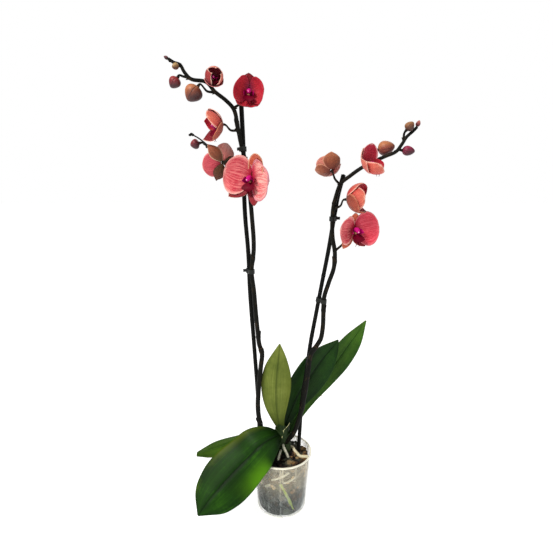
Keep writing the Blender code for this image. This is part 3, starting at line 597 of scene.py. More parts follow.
# Roots against the wall: (angle, height) along each, its radius and its finish.
WALL_ROOTS = {
    "root_wall_green": ([(-93, 0.078), (-84, 0.062), (-72, 0.038), (-61, 0.016)], 0.003, root_green),
    "root_wall_pale": ([(-112, 0.086), (-98, 0.091), (-86, 0.097), (-75, 0.103)], 0.002, root_white),
    "root_wall_short": ([(-86, 0.081), (-77, 0.083), (-68, 0.086), (-60, 0.089)], 0.0018, root_white),
    "root_wall_left": ([(-128, 0.066), (-121, 0.07), (-115, 0.076)], 0.0026, root_white),
}
for name, (angles, radius, finish) in WALL_ROOTS.items():
    path = []
    for angle, z in angles:
        reach = inside_radius(z) - radius - ROOT_GAP
        path.append((reach * math.cos(math.radians(angle)), reach * math.sin(math.radians(angle)), z,
                     radius * (0.75 if angle == angles[-1][0] else 1.0)))
    ROOTS[name] = (path, finish)

for order, (name, (path, finish)) in enumerate(ROOTS.items()):
    root = Mould()
    seed = 3.1 * order

    def knobs(t, turn):
        return (1.0 + 0.20 * noise.noise(Vector((t * 9.0, seed, 0.0)))
                + 0.10 * noise.noise(Vector((math.cos(turn) * 1.3, math.sin(turn) * 1.3 + seed, t * 24.0))))

    rod(root, path, steps=16, around=14, swell=knobs)
    root.piece(name + "_skin", [finish], [name],
               "root_green" if name == "root_wall_green" else "root_cream")
print("roots:", list(ROOTS))

# %% [markdown]
# ## Bark
# Orchid bark is loose chips, not soil. The bulk is one lumpy plug, and the chips that can be seen,
# on top and against the clear wall, are laid one by one: each is a squashed block with its own
# size, turn and tone. The random numbers are seeded, so the same chips fall every time.

# %% Bark finish
bark_finish = Finish("bark", Specular_IOR_Level=0.3)
_place, _tone = bark_finish.place(), bark_finish.mark("tone")
_along, _across = bark_finish.mark("along"), bark_finish.mark("across")
_grain = bark_finish.noise(1.0, bark_finish.vector(_across * 9.0, _along * 2.0, _tone * 40.0), 4.0, 0.65)
_fine = bark_finish.noise(520.0, _place, 4.0, 0.65)
_colour = bark_finish.ramp(_tone + (_grain - 0.5) * 0.30 + (_fine - 0.5) * 0.25,
                           (0.0, (8, 6, 6)), (0.35, (28, 20, 17)), (0.62, (76, 54, 36)),
                           (0.82, (148, 112, 66)), (1.0, (206, 178, 130)))
_algae = bark_finish.noise(60.0, _place, 2.0).ease(0.52, 0.66)
_colour = bark_finish.mix(_algae * 0.50, _colour, (92, 98, 80))
bark_finish.set(Base_Color=_colour, Roughness=0.72 + _fine * 0.25,
                Normal=bark_finish.bump(_fine * 0.6 + _grain * 0.6, 0.0012, 0.9))

# %% Bark
BARK_EDGE_Z, BARK_MIDDLE_Z, BARK_R, POT_FLOOR = 0.1040, 0.1130, 0.052, 0.0022
CHIP_ROOM = 0.0022  # between the plug and the wall, where the chips lie
TOP_CHIPS, WALL_CHIPS = 230, 330
FULL_TURN = 6.283  # radians
chance = random.Random(11)
bark = Mould()


def mound(r):
    """Height of the bark's top, which rises toward the crown."""
    return BARK_EDGE_Z + (BARK_MIDDLE_Z - BARK_EDGE_Z) * math.cos(r / BARK_R * math.pi / 2)


outline = [(0.001, 0.003), (0.030, 0.003), (inside_radius(0.003) - 0.004, 0.003)]
outline += [(inside_radius(z) - CHIP_ROOM, z)
            for z in (0.006, 0.02, 0.035, 0.05, 0.065, 0.08, 0.092, 0.101)]
outline += [(r, mound(r) - 0.0015) for r in (0.051, 0.044, 0.036, 0.028, 0.020, 0.012, 0.002)]


def plug(t, s):
    """The lumpy body of the mix."""
    at = t * (len(outline) - 1)
    i = min(int(at), len(outline) - 2)
    f = at - i
    r = outline[i][0] * (1 - f) + outline[i + 1][0] * f
    z = outline[i][1] * (1 - f) + outline[i + 1][1] * f
    spot = Vector((r * math.cos(s * math.pi), r * math.sin(s * math.pi), z))
    push = 0.0022 * noise.noise(spot * 150.0) + 0.0010 * noise.noise(spot * 420.0)
    return spot + Vector((0, 0, push)) if t > 0.62 else spot * (1.0 - abs(push) * 14.0)


def plug_tone(t, s):
    return 0.12 + 0.16 * noise.noise(Vector((t * 30, math.cos(s * 3.14) * 9, s * 9)))


bark.patch(plug, 90, 96, tone=plug_tone, closed=True)


def chip(centre, size, turn, tone):
    """One chip: a block of three by three faces, worn at its corners and pulled about."""
    across = [-1.0, -0.45, 0.45, 1.0]
    start = len(bark.points)
    for x in across:
        for y in across:
            for z in (-1.0, 1.0):
                spot = Vector((x, y, z))
                spot *= 1.0 - 0.17 * (abs(x) == 1.0) * (abs(y) == 1.0)
                spot += Vector([chance.uniform(-0.20, 0.20) for _ in range(3)])
                at = centre + turn @ Vector((spot.x * size[0], spot.y * size[1], spot.z * size[2]))
                bark.point(at, x, y, tone + chance.uniform(-0.06, 0.06))

    def quad(*corners):
        bark.faces.append(tuple(start + (i * 4 + j) * 2 + k for i, j, k in corners))

    for i in range(3):
        for j in range(3):
            quad((i, j, 1), (i + 1, j, 1), (i + 1, j + 1, 1), (i, j + 1, 1))
            quad((i, j, 0), (i, j + 1, 0), (i + 1, j + 1, 0), (i + 1, j, 0))
    for i in range(3):
        quad((i, 0, 0), (i + 1, 0, 0), (i + 1, 0, 1), (i, 0, 1))
        quad((i + 1, 3, 0), (i, 3, 0), (i, 3, 1), (i + 1, 3, 1))
        quad((0, i + 1, 0), (0, i, 0), (0, i, 1), (0, i + 1, 1))
        quad((3, i, 0), (3, i + 1, 0), (3, i + 1, 1), (3, i, 1))


def tumble(tilt):
    """A random turn that stays within a tilt of level."""
    return (Matrix.Rotation(chance.uniform(0, FULL_TURN), 3, "Z")
            @ Matrix.Rotation(chance.uniform(-tilt, tilt), 3, "X")
            @ Matrix.Rotation(chance.uniform(-tilt, tilt), 3, "Y"))


for i in range(TOP_CHIPS):
    reach, turn = 0.0515 * math.sqrt(chance.random()), chance.uniform(0, FULL_TURN)
    height = mound(reach) + 0.0005
    size = (chance.uniform(0.0028, 0.0068), chance.uniform(0.0022, 0.0042), chance.uniform(0.0010, 0.0022))
    golden = math.cos(turn + 0.5) * reach > 0.022  # drier chips lie on the right
    tone = chance.choice((0.30, 0.55, 0.72, 0.84) if golden else (0.04, 0.08, 0.12, 0.18, 0.24, 0.34, 0.50))
    chip(Vector((reach * math.cos(turn), reach * math.sin(turn), height + chance.uniform(-0.0010, 0.0012))),
         size, tumble(0.45), tone)
for i in range(WALL_CHIPS):
    turn, z = chance.uniform(0, FULL_TURN), chance.uniform(0.0105, BARK_EDGE_Z - 0.002)
    size = (chance.uniform(0.0010, 0.0016), chance.uniform(0.0026, 0.0068), chance.uniform(0.0022, 0.0050))
    reach = inside_radius(z) - CHIP_ROOM - 0.0010  # sunk a little into the plug
    face = Matrix.Rotation(turn, 3, "Z") @ Matrix.Rotation(chance.uniform(-0.9, 0.9), 3, "X")
    tone = chance.choice((0.10, 0.25, 0.42, 0.60, 0.78)) + 0.16 * (z > 0.066) - 0.18 * (z < 0.050)
    chip(Vector((reach * math.cos(turn), reach * math.sin(turn), z)), size, face, tone)
bark_piece = bark.piece("bark_chips", [bark_finish], ["bark_mix"], "bark", smooth=False)
print("bark faces", len(bark_piece.data.polygons))

# %% [markdown]
# ## Pot
# A clear nursery pot is thin moulded plastic: it shows its bark as through smoked glass, and what
# makes it read as plastic is its thicker, milky rim and foot, the streaks of light down its wall
# and the haze of dried water. The wall is a profile turned round the axis, and the drain slots
# and holes are cut out of it. The finish is mostly clear. It turns milky on the rim and foot and
# along fine fibres near the top. Toward the edges and in long streaks down the wall it turns milky
# and pale as well, and there the milkiness is painted reflection and painted highlight.

# %% Pot finish
clear = Finish("clear_pot", Specular_IOR_Level=0.9, Coat_Weight=0.6, Coat_Roughness=0.05)
_place = clear.place()
_along, _across = clear.mark("along"), clear.mark("across")
# painted reflection: the wall turns milky and cream as it turns from view
_painted_edge_reflection = clear.node("ShaderNodeLayerWeight", sockets={"Blend": 0.32}, out="Facing")
_haze = clear.noise(34.0, _place, 4.0, 0.6)
_drops = clear.cells(150.0, _place).ease(0.06, 0.20, 1.0, 0.0)
# painted highlight: long milky streaks down the wall, also raised a little as relief
_painted_highlight_streak = clear.noise(1.0, clear.vector(_across * 22.0, _along * 1.2, 0.7), 3.0, 0.55)
_lip = clear.mark("tone")
_fibre = clear.cells(1.0, clear.vector(_across * 46.0 + _haze * 3.0, _along * 60.0 + _haze * 8.0, 0.3),
                     "DISTANCE_TO_EDGE").ease(0.01, 0.09, 1.0, 0.0)
_high = clear.node("ShaderNodeSeparateXYZ", sockets={0: _place}, out="Z").ease(0.030, 0.085)
_milk = (_painted_edge_reflection ** 2.6) * 0.62 + _haze.ease(0.50, 0.72) * 0.14 + _drops * 0.08
_milk = _milk + _painted_highlight_streak.ease(0.60, 0.68) * 0.34
_milk = _milk + _fibre * 0.30 * _haze.ease(0.40, 0.60) * (_high + 0.35)
_wall_tint = clear.mix(_high.above(_painted_edge_reflection.ease(0.5, 0.9)), (158, 168, 164), (226, 218, 190))
clear.set(Base_Color=clear.mix(_lip, _wall_tint, (246, 242, 222)),
          Alpha=(_milk + 0.05 + _high * 0.10 + _lip * 0.72).below(0.96),
          Roughness=0.10 + _haze * 0.12 + _lip * 0.15,
          Normal=clear.bump(_painted_highlight_streak * 0.7 + _haze * 0.3, 0.0007, 0.35))

# %% Pot
POT_RIM_R = 0.0590
INNER_TOP_R, RIM_FOOT_Z = POT_TOP_R - POT_WALL, POT_HEIGHT - POT_LIP
pot_profile = [  # radius, height, how milky: up the inside, over the rim and down the outside
    (0.0003, POT_FLOOR, 0.2), (0.030, POT_FLOOR, 0.2), (inside_radius(0.0022) - 0.0010, POT_FLOOR, 0.35),
    (inside_radius(0.0034), 0.0034, 0.4), (inside_radius(0.008), 0.008, 0.05),
    (inside_radius(0.05), 0.05, 0.0), (inside_radius(0.09), 0.09, 0.0), (INNER_TOP_R, RIM_FOOT_Z, 0.15),
    (INNER_TOP_R, POT_HEIGHT - 0.0006, 0.75), (INNER_TOP_R + 0.0006, POT_HEIGHT, 0.95),
    (POT_RIM_R - 0.0006, POT_HEIGHT, 1.0), (POT_RIM_R, POT_HEIGHT - 0.0007, 1.0),
    (POT_RIM_R, RIM_FOOT_Z + 0.0006, 1.0), (POT_RIM_R - 0.0005, RIM_FOOT_Z, 0.9),
    (POT_TOP_R + 0.0001, RIM_FOOT_Z - 0.0004, 0.35), (POT_TOP_R - 0.0002, POT_HEIGHT - 0.0052, 0.05)]
pot_profile += [(inside_radius(z) + POT_WALL, z, 0.0) for z in (0.100, 0.080, 0.060, 0.040, 0.020, 0.008)]
pot_profile += [(inside_radius(0.0035) + POT_WALL, 0.0035, 0.35), (POT_BASE_R - 0.0004, 0.0012, 0.75),
                (POT_BASE_R - 0.0014, 0.0, 0.85), (0.030, 0.0, 0.3), (0.0003, 0.0, 0.3)]
pot = Mould()


def wall_row(t):
    return pot_profile[round(t * (len(pot_profile) - 1))]


def wall(t, s):
    r, z, _ = wall_row(t)
    return Vector((r * math.cos(s * math.pi), r * math.sin(s * math.pi), z))


pot.patch(wall, len(pot_profile) - 1, 144, tone=lambda t, s: wall_row(t)[2], closed=True)
pot_piece = pot.piece("pot_wall", [clear], ["pot"], "clear_pot")
weld = bmesh.new()
weld.from_mesh(pot_piece.data)
bmesh.ops.recalc_face_normals(weld, faces=weld.faces)
bmesh.ops.holes_fill(weld, edges=weld.edges, sides=0)
weld.to_mesh(pot_piece.data)
weld.free()


SLOTS, HOLES = 6, 8
drains = bmesh.new()


def drain(shape_maker, reach, turn, size):
    """Add one cutting shape, at a distance from the axis and turned round it."""
    tool = bmesh.new()
    shape_maker(tool)
    matrix = (Matrix.Rotation(math.radians(turn), 4, "Z") @ Matrix.Translation((reach, 0, 0))
              @ Matrix.Diagonal((*size, 1.0)))
    bmesh.ops.transform(tool, matrix=matrix, verts=tool.verts)
    mesh = bpy.data.meshes.new("cut")
    tool.to_mesh(mesh)
    tool.free()
    drains.from_mesh(mesh)
    bpy.data.meshes.remove(mesh)


def block(tool):
    bmesh.ops.create_cube(tool, size=1.0)


def drill(tool):
    bmesh.ops.create_cone(tool, cap_ends=True, segments=20, radius1=1, radius2=1, depth=1)


for i in range(SLOTS):
    drain(block, POT_BASE_R, -82 + 60 * i, (0.0080, 0.0090, 0.0072))
for i in range(HOLES):
    drain(drill, 0.031, 22.5 + 45 * i, (0.0032, 0.0032, 0.02))
tool_mesh = bpy.data.meshes.new("pot_cuts")
drains.to_mesh(tool_mesh)
drains.free()
cutter = bpy.data.objects.new("pot_cuts", tool_mesh)
scene.collection.objects.link(cutter)
cut_out = pot_piece.modifiers.new("drains", "BOOLEAN")
cut_out.operation = "DIFFERENCE"
cut_out.solver = "EXACT"
cut_out.object = cutter
pot_mesh = bpy.data.meshes.new_from_object(pot_piece.evaluated_get(bpy.context.evaluated_depsgraph_get()))
pot_piece.modifiers.clear()
pot_piece.data = pot_mesh
bpy.data.objects.remove(cutter, do_unlink=True)
print("pot faces", len(pot_piece.data.polygons))

# %% [markdown]
# ## Canes and spikes
# Two stained canes stand in the bark, and each flower spike climbs one of them, held by clips.
# A spike is a green-black stem with a joint every few centimetres, where a small papery bract
# hugs it, and it thins toward its tip. Flowers and buds hang from side stalks that leave at those
# joints. All of it is round rod through the same points as the frame.

# %% Stem finishes
def stem_finish(name, deep, body, light, streak, seed, rough):
    """Near-black skin with a long grain, and browner where a bract or a flower stalk is."""
    f = Finish(name, Specular_IOR_Level=0.12)
    place = f.place()
    across, along = f.mark("across"), f.mark("along")
    long_grain = f.noise(1.0, f.vector(across * 7.0, along * 60.0, seed), 4.0, 0.6)
    blotch = f.noise(85.0, place, 4.0, 0.6)
    fine = f.noise(600.0, place, 2.0, 0.6)
    colour = f.ramp(blotch * 0.6 + long_grain * 0.4, (0.30, deep), (0.55, body), (0.78, light))
    colour = f.mix((long_grain * blotch).ease(0.30, 0.42) * 0.5, colour, streak)
    colour = f.mix(f.mark("tone").ease(0.55, 0.95), colour, streak)
    return f.set(Base_Color=colour, Roughness=rough + fine * 0.22,
                 Normal=f.bump(long_grain * 0.5 + fine * 0.3 + blotch * 0.3, 0.0007, 0.5))


cane_finish = stem_finish("cane_stain", (1, 2, 1), (4, 5, 3), (16, 17, 9), (26, 24, 12), 1.0, 0.46)
spike_finish = stem_finish("spike_skin", (3, 3, 1), (9, 9, 4), (34, 30, 13), (66, 46, 26), 5.0, 0.46)

# %% Canes
STICK_R, SPIKE_R, BRANCH_R, PEDICEL_R = 0.0038, 0.0046, 0.0019, 0.0018
SPIKE_FORWARD = 0.0030  # how far each spike stands in front of the points below
STICKS = {
    "left": [(-0.0415, 0.003, 0.02), (-0.0425, 0.0, 0.117), (-0.045, -0.006, 0.228),
             (-0.051, -0.011, 0.3415), (-0.057, -0.016, 0.447), (-0.059, -0.0195, 0.5195),
             (-0.063, -0.022, 0.578), (-0.064, -0.0275, 0.695), (-0.066, -0.03, 0.7575)],
    "right": [(0.029, 0.006, 0.02), (0.0345, 0.002, 0.1375), (0.039, -0.002, 0.226),
              (0.0475, -0.0045, 0.295), (0.052, -0.007, 0.338), (0.0615, -0.01, 0.4005),
              (0.071, -0.0125, 0.4605), (0.0805, -0.015, 0.5185), (0.0895, -0.0185, 0.5845),
              (0.0935, -0.0195, 0.6115), (0.1015, -0.021, 0.646)],
}
for hand, line in STICKS.items():
    cane = Mould()

    def joints(t, turn):
        near = abs((t * 5.3 + 0.21) % 1.0 - 0.5)  # distance to the nearest joint of the bamboo
        return 0.985 + 0.075 * math.exp(-(near / 0.012) ** 2) + 0.012 * math.sin(2.0 * turn + 9.0 * t)

    rod(cane, [(*p, STICK_R) for p in line], steps=24, around=16, swell=joints)
    made = cane.piece("cane_" + hand, [cane_finish], ["stick_" + hand], "cane")
    print(made.name, "faces", len(made.data.polygons))

# %% Where the spikes run
SPIKES = {
    "left": [(-0.004, -0.001, 0.128), (-0.022, -0.006, 0.14), (-0.036, -0.008, 0.164),
             (-0.0435, -0.0105, 0.197), (-0.0425, -0.0145, 0.2655), (-0.0385, -0.016, 0.304),
             (-0.0365, -0.0175, 0.33), (-0.041, -0.018, 0.346), (-0.043, -0.019, 0.365),
             (-0.0465, -0.0212, 0.4075), (-0.0495, -0.023, 0.4485), (-0.053, -0.0245, 0.483),
             (-0.0488, -0.0262, 0.5205), (-0.051, -0.029, 0.5785), (-0.0565, -0.032, 0.638),
             (-0.061, -0.0335, 0.6695), (-0.067, -0.0355, 0.696), (-0.071, -0.039, 0.7185),
             (-0.0775, -0.046, 0.7475), (-0.088, -0.05, 0.758), (-0.104, -0.054, 0.77),
             (-0.1145, -0.057, 0.782), (-0.1405, -0.06, 0.788), (-0.148, -0.061, 0.7965),
             (-0.1535, -0.061, 0.806), (-0.163, -0.062, 0.8095), (-0.17, -0.062, 0.814)],
    "right": [(0.008, 0.0, 0.136), (0.022, -0.006, 0.158), (0.034, -0.0085, 0.196),
              (0.0425, -0.0105, 0.24), (0.0485, -0.013, 0.2885), (0.055, -0.015, 0.331),
              (0.0615, -0.0158, 0.341), (0.07, -0.0165, 0.3565), (0.073, -0.0175, 0.376),
              (0.0735, -0.019, 0.407), (0.0738, -0.02, 0.4335), (0.0815, -0.0215, 0.463),
              (0.089, -0.023, 0.488), (0.09, -0.024, 0.5165), (0.0855, -0.025, 0.541),
              (0.084, -0.0262, 0.5685), (0.0855, -0.0275, 0.597), (0.089, -0.029, 0.6135),
              (0.0955, -0.031, 0.632), (0.1095, -0.037, 0.6445), (0.1245, -0.043, 0.656),
              (0.1425, -0.045, 0.666), (0.1615, -0.05, 0.6745), (0.178, -0.055, 0.6825),
              (0.1855, -0.057, 0.6935), (0.1915, -0.058, 0.7035), (0.201, -0.059, 0.7125),
              (0.206, -0.06, 0.718)],
}
SPIKES = {hand: [(x, y - SPIKE_FORWARD, z) for x, y, z in line] for hand, line in SPIKES.items()}
# Each bloom: middle, way it faces, radius of its cup.
BLOOM_AT = {
    "bloom_left_1": ((-0.1065, -0.064, 0.786), (0.35, -0.85, 0.2), 0.0205),
    "bloom_left_2": ((-0.0525, -0.05, 0.769), (0.05, -0.98, 0.05), 0.03),
    "bloom_left_3": ((-0.095, -0.052, 0.7225), (-0.86, -0.49, -0.05), 0.0315),
    "bloom_left_4": ((-0.096, -0.046, 0.6655), (-0.45, 0.85, 0.05), 0.044),
    "bloom_left_5": ((-0.0494, -0.049, 0.6408), (-0.4, -0.9, -0.12), 0.054),
    "bloom_right_1": ((0.13, -0.063, 0.67), (0.58, -0.78, -0.2), 0.029),
    "bloom_right_2": ((0.0795, -0.0385, 0.653), (-0.25, 0.75, 0.55), 0.023),
    "bloom_right_3": ((0.105, -0.043, 0.607), (0.9, -0.32, 0.1), 0.0295),
    "bloom_right_4": ((0.1205, -0.033, 0.556), (0.33, -0.93, -0.1), 0.054),
}
# Each bud: foot, way it points, length, radius.
BUD_AT = {
    "bud_left_1": ((-0.1705, -0.0634, 0.8142), (-0.85, 0.0, 0.5), 0.0075, 0.0026),
    "bud_left_2": ((-0.156, -0.0672, 0.8048), (-0.6, -0.7, -0.4), 0.011, 0.0048),
    "bud_left_3": ((-0.158, -0.0625, 0.789), (-0.6, 0.0, -0.8), 0.018, 0.009),
    "bud_left_4": ((-0.128, -0.0625, 0.7765), (-0.62, 0.0, -0.78), 0.026, 0.0135),
    "bud_left_side": ((-0.1328, -0.041, 0.6955), (-0.95, 0.0, -0.2), 0.0145, 0.0078),
    "bud_right_1": ((0.2064, -0.06, 0.7184), (0.35, 0.0, 0.94), 0.01, 0.0035),
    "bud_right_2": ((0.1895, -0.064, 0.713), (0.6, -0.15, 0.78), 0.015, 0.0072),
    "bud_right_3": ((0.1868, -0.056, 0.6838), (1.0, 0.0, -0.08), 0.02, 0.0075),
    "bud_right_4": ((0.152, -0.042, 0.685), (0.96, 0.0, 0.22), 0.027, 0.0115),
}
# Side stalks of each spike: where they leave it and how they bend. The left spike also has a
# branch, which runs behind a bloom and carries a bud of its own.
STALKS = {
    "left": {
        "side_branch": [(-0.0605, -0.0335, 0.636), (-0.0715, -0.034, 0.641), (-0.0805, -0.013, 0.649),
                        (-0.0915, -0.001, 0.664), (-0.105, 0.003, 0.677), (-0.115, -0.002, 0.6855),
                        (-0.121, -0.016, 0.6912), (-0.1277, -0.036, 0.6983), (-0.1343, -0.048, 0.7036),
                        (-0.14, -0.056, 0.7067)],
        "bud_left_2": [(-0.153, -0.061, 0.8055)],
        "bud_left_3": [(-0.141, -0.06, 0.7882), (-0.15, -0.061, 0.7905)],
        "bud_left_4": [(-0.1035, -0.054, 0.7697), (-0.115, -0.058, 0.77)],
        "bud_left_side": [(-0.121, -0.016, 0.6912), (-0.1265, -0.03, 0.6945)],
        "bloom_left_1": [(-0.112, -0.0565, 0.779)],
        "bloom_left_2": [(-0.0775, -0.046, 0.7475), (-0.064, -0.044, 0.756)],
        "bloom_left_3": [(-0.0705, -0.0385, 0.7155), (-0.0815, -0.045, 0.7145)],
        "bloom_left_4": [(-0.061, -0.0335, 0.656), (-0.079, -0.05, 0.664), (-0.086, -0.053, 0.668)],
        "bloom_left_5": [(-0.056, -0.0318, 0.634)],
    },
    "right": {
        "bud_right_2": [(0.188, -0.0575, 0.6985), (0.187, -0.061, 0.706)],
        "bud_right_3": [(0.177, -0.0548, 0.682)],
        "bud_right_4": [(0.1405, -0.0445, 0.665), (0.144, -0.0415, 0.676)],
        "bloom_right_1": [(0.132, -0.045, 0.66), (0.13, -0.052, 0.661)],
        "bloom_right_2": [(0.095, -0.031, 0.631), (0.085, -0.0385, 0.64)],
        "bloom_right_3": [(0.0855, -0.027, 0.59), (0.096, -0.034, 0.596)],
        "bloom_right_4": [(0.0897, -0.024, 0.519), (0.108, -0.0235, 0.535)],
    },
}
print("blooms", len(BLOOM_AT), "buds", len(BUD_AT))

# %% Spikes
def on_path(paths, point):
    """The place nearest to a point on any of the paths."""
    fine = 30  # steps between two points of a path
    spots = [Vector(flow(line, i / (len(line) * fine))) for line in paths
             for i in range(len(line) * fine + 1)]
    return min(spots, key=lambda spot: (spot - Vector(point)).length)


def bract(mould, at, way, radius, length, seed):
    """A small papery scale that hugs a stem on one side."""
    side = way.orthogonal().normalized()
    side.rotate(Matrix.Rotation(seed * 2.4, 3, way))
    other = way.cross(side)

    def place(t, s):
        turn = s * 1.75 * (1.0 - 0.75 * t ** 2)
        reach = radius * (1.10 + 0.42 * t ** 2)
        hug = (side * math.cos(turn) + other * math.sin(turn)) * reach
        return at + way * (length * t - length * 0.18) + hug

    mould.patch(place, 8, 12, tone=lambda t, s: 0.35 + 0.5 * max(t, abs(s)) ** 3)


# Where the joints of each spike are, from its foot to its tip.
JOINTS = {"left": [0.10, 0.235, 0.30, 0.445, 0.57, 0.66], "right": [0.09, 0.20, 0.34, 0.46, 0.60]}
for hand, line in SPIKES.items():
    spike = Mould()
    last = len(line) - 1
    path = [(*p, SPIKE_R * (1.0 - 0.50 * (i / last) ** 1.3)) for i, p in enumerate(line)]
    joint_at = JOINTS[hand]

    def joints(t, turn):
        swell = 1.0 + 0.02 * math.sin(7.0 * turn + 40.0 * t)
        for spot in joint_at:
            swell += 0.17 * math.exp(-((t - spot) / 0.0045) ** 2)
        return swell

    rod(spike, path, steps=12, around=16, swell=joints, tone=0.2)
    for order, spot in enumerate(joint_at):
        row, ahead = flow(path, spot), flow(path, spot + 0.004)
        way = (Vector(ahead[:3]) - Vector(row[:3])).normalized()
        bract(spike, Vector(row[:3]), way, row[3], 0.0125, order + 0.7)
    stems = [line]
    for carried, bends in STALKS[hand].items():
        bends = [on_path(stems, bends[0])] + bends[1:]
        if carried == "side_branch":
            stems.append(bends)
            thinning = [(*p, BRANCH_R - 0.0001 * i) for i, p in enumerate(bends)]
            rod(spike, thinning, steps=8, around=12, tone=0.2)
            for turn in range(3):
                spot = Vector(bends[-1]) + Vector((-0.0022 * turn, 0.0, 0.0016 * (turn % 2)))
                lump(spike, spot, (0.0026, 0.0017, 0.0019), around=10, up=6, tone=0.5)
            continue
        foot, facing = (BLOOM_AT if carried in BLOOM_AT else BUD_AT)[carried][:2]
        out = Vector(facing).normalized()
        end = Vector(foot) + out * (-0.0006 if carried in BLOOM_AT else 0.0006)
        route = [Vector(p) for p in bends]
        if (end - route[-1]).length > 0.0080:
            route.append(end - out * 0.0040)
        route.append(end)
        radii = [PEDICEL_R * 1.25] + [PEDICEL_R] * (len(route) - 2) + [PEDICEL_R * 1.45]
        rod(spike, [(*p, r) for p, r in zip(route, radii)], steps=10, around=12,
            tone=0.62 if carried.startswith("bloom") else 0.5)
        away = (route[1] - route[0]).normalized()
        bract(spike, route[0], away, PEDICEL_R * 1.5, 0.0062, len(carried))
    if hand == "left":
        tip = Vector(line[-1])
        for turn in range(3):
            lump(spike, tip + Vector((0.0010 * turn, -0.0012 * (turn % 2), -0.0014 * turn)),
                 (0.0024, 0.0019, 0.0019), around=10, up=6, tone=0.6)
    made = spike.piece("flower_spike_" + hand, [spike_finish], ["spike_" + hand], "spike")
    print(made.name, "faces", len(made.data.polygons))

# %% Clips
clip_finish = Finish("clip_plastic", Specular_IOR_Level=0.3)
_place = clip_finish.place()
_fine = clip_finish.noise(700.0, _place, 2.0, 0.5)
_worn = clip_finish.noise(140.0, _place, 4.0, 0.6)
clip_finish.set(Base_Color=clip_finish.mix(_worn.ease(0.45, 0.75), (6, 10, 7), (24, 32, 22)),
                Roughness=0.30 + _worn * 0.25, Normal=clip_finish.bump(_fine, 0.0003, 0.4))
for name in ("clip_left_top", "clip_left_middle", "clip_right_top", "clip_right_middle"):
    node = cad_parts[name]
    node.data.materials.clear()
    node.data.materials.append(clip_finish.material)
print("clips finished")

# %% [markdown]
# ## Buds
# A bud is three sepals folded shut, so it is egg-shaped with three shallow seams that meet at a
# blunt point. It is tan-green on one side and flushes dark red on the other, mostly its lower
# side: partly its own flush and partly painted shade. The mesh carries this as `tone`.

# %% Bloom frame
def bloom_turn(facing, top):
    """Axes of a bloom or bud: Z out of its face, Y toward its top."""
    z = Vector(facing).normalized()
    x = Vector(top).cross(z).normalized()
    return Matrix((x, z.cross(x), z)).transposed()


def flesh_noise(f):
    """Broad and fine noises shared by petals and buds."""
    place = f.place()
    return f.noise(55.0, place, 4.0, 0.6), f.noise(800.0, place, 3.0, 0.6)


# %% Buds
def bud_finish(name, light, body, flush, seam):
    """Folded sepals: light on one side, flushed on the other, darker along three seams."""
    f = Finish(name, Specular_IOR_Level=0.4)
    broad, fine = flesh_noise(f)
    along, across = f.mark("along"), f.mark("across")
    streaks = f.noise(1.0, f.vector(across * 14.0, along * 2.2, 2.0), 3.0, 0.6)
    level = f.mark("tone") + (broad - 0.5) * 0.5 + (streaks - 0.5) * 0.35
    colour = f.ramp(level, (0.16, light), (0.46, body), (0.80, flush))
    crease = abs(((across * 1.5 + 0.25) * math.pi).sine())
    colour = f.mix(crease.ease(0.0, 0.14, 0.75, 0.0), colour, seam)
    colour = f.mix(along.ease(0.86, 1.0) * 0.6, colour, flush)
    return f.set(Base_Color=colour, Roughness=0.36 + fine * 0.25,
                 Normal=f.bump(streaks * 0.6 + fine * 0.25 + crease.ease(0.0, 0.2) * 0.6, 0.0006, 0.5))


# Each bud: its light side, its body, its flush, its seams, and the way the flushed side faces, mostly down,
# where the flush is partly painted shade.
BUD_LOOKS = {
    "bud_left_1": ((96, 40, 44), (70, 20, 30), (44, 10, 22), (30, 8, 14), (0, 0, -1)),
    "bud_left_2": ((158, 128, 82), (120, 88, 50), (84, 46, 30), (54, 32, 20), (0.3, 0, -1)),
    "bud_left_3": ((140, 46, 44), (104, 24, 32), (56, 10, 20), (36, 8, 14), (0, 0, -1)),
    "bud_left_4": ((172, 108, 72), (112, 56, 38), (52, 14, 16), (36, 10, 10), (0.45, 0, -1)),
    "bud_left_side": ((128, 44, 48), (88, 20, 32), (52, 12, 22), (34, 8, 14), (0.4, 0, -1)),
    "bud_right_1": ((168, 92, 80), (124, 50, 48), (80, 24, 30), (48, 14, 18), (-0.6, 0, -1)),
    "bud_right_2": ((150, 104, 66), (104, 62, 40), (60, 30, 22), (38, 22, 16), (0.3, 0, -1)),
    "bud_right_3": ((150, 40, 74), (96, 16, 42), (52, 8, 24), (32, 5, 16), (0.4, 0, -1)),
    "bud_right_4": ((176, 110, 72), (132, 62, 48), (84, 26, 26), (54, 16, 16), (0.4, 0, -1)),
}
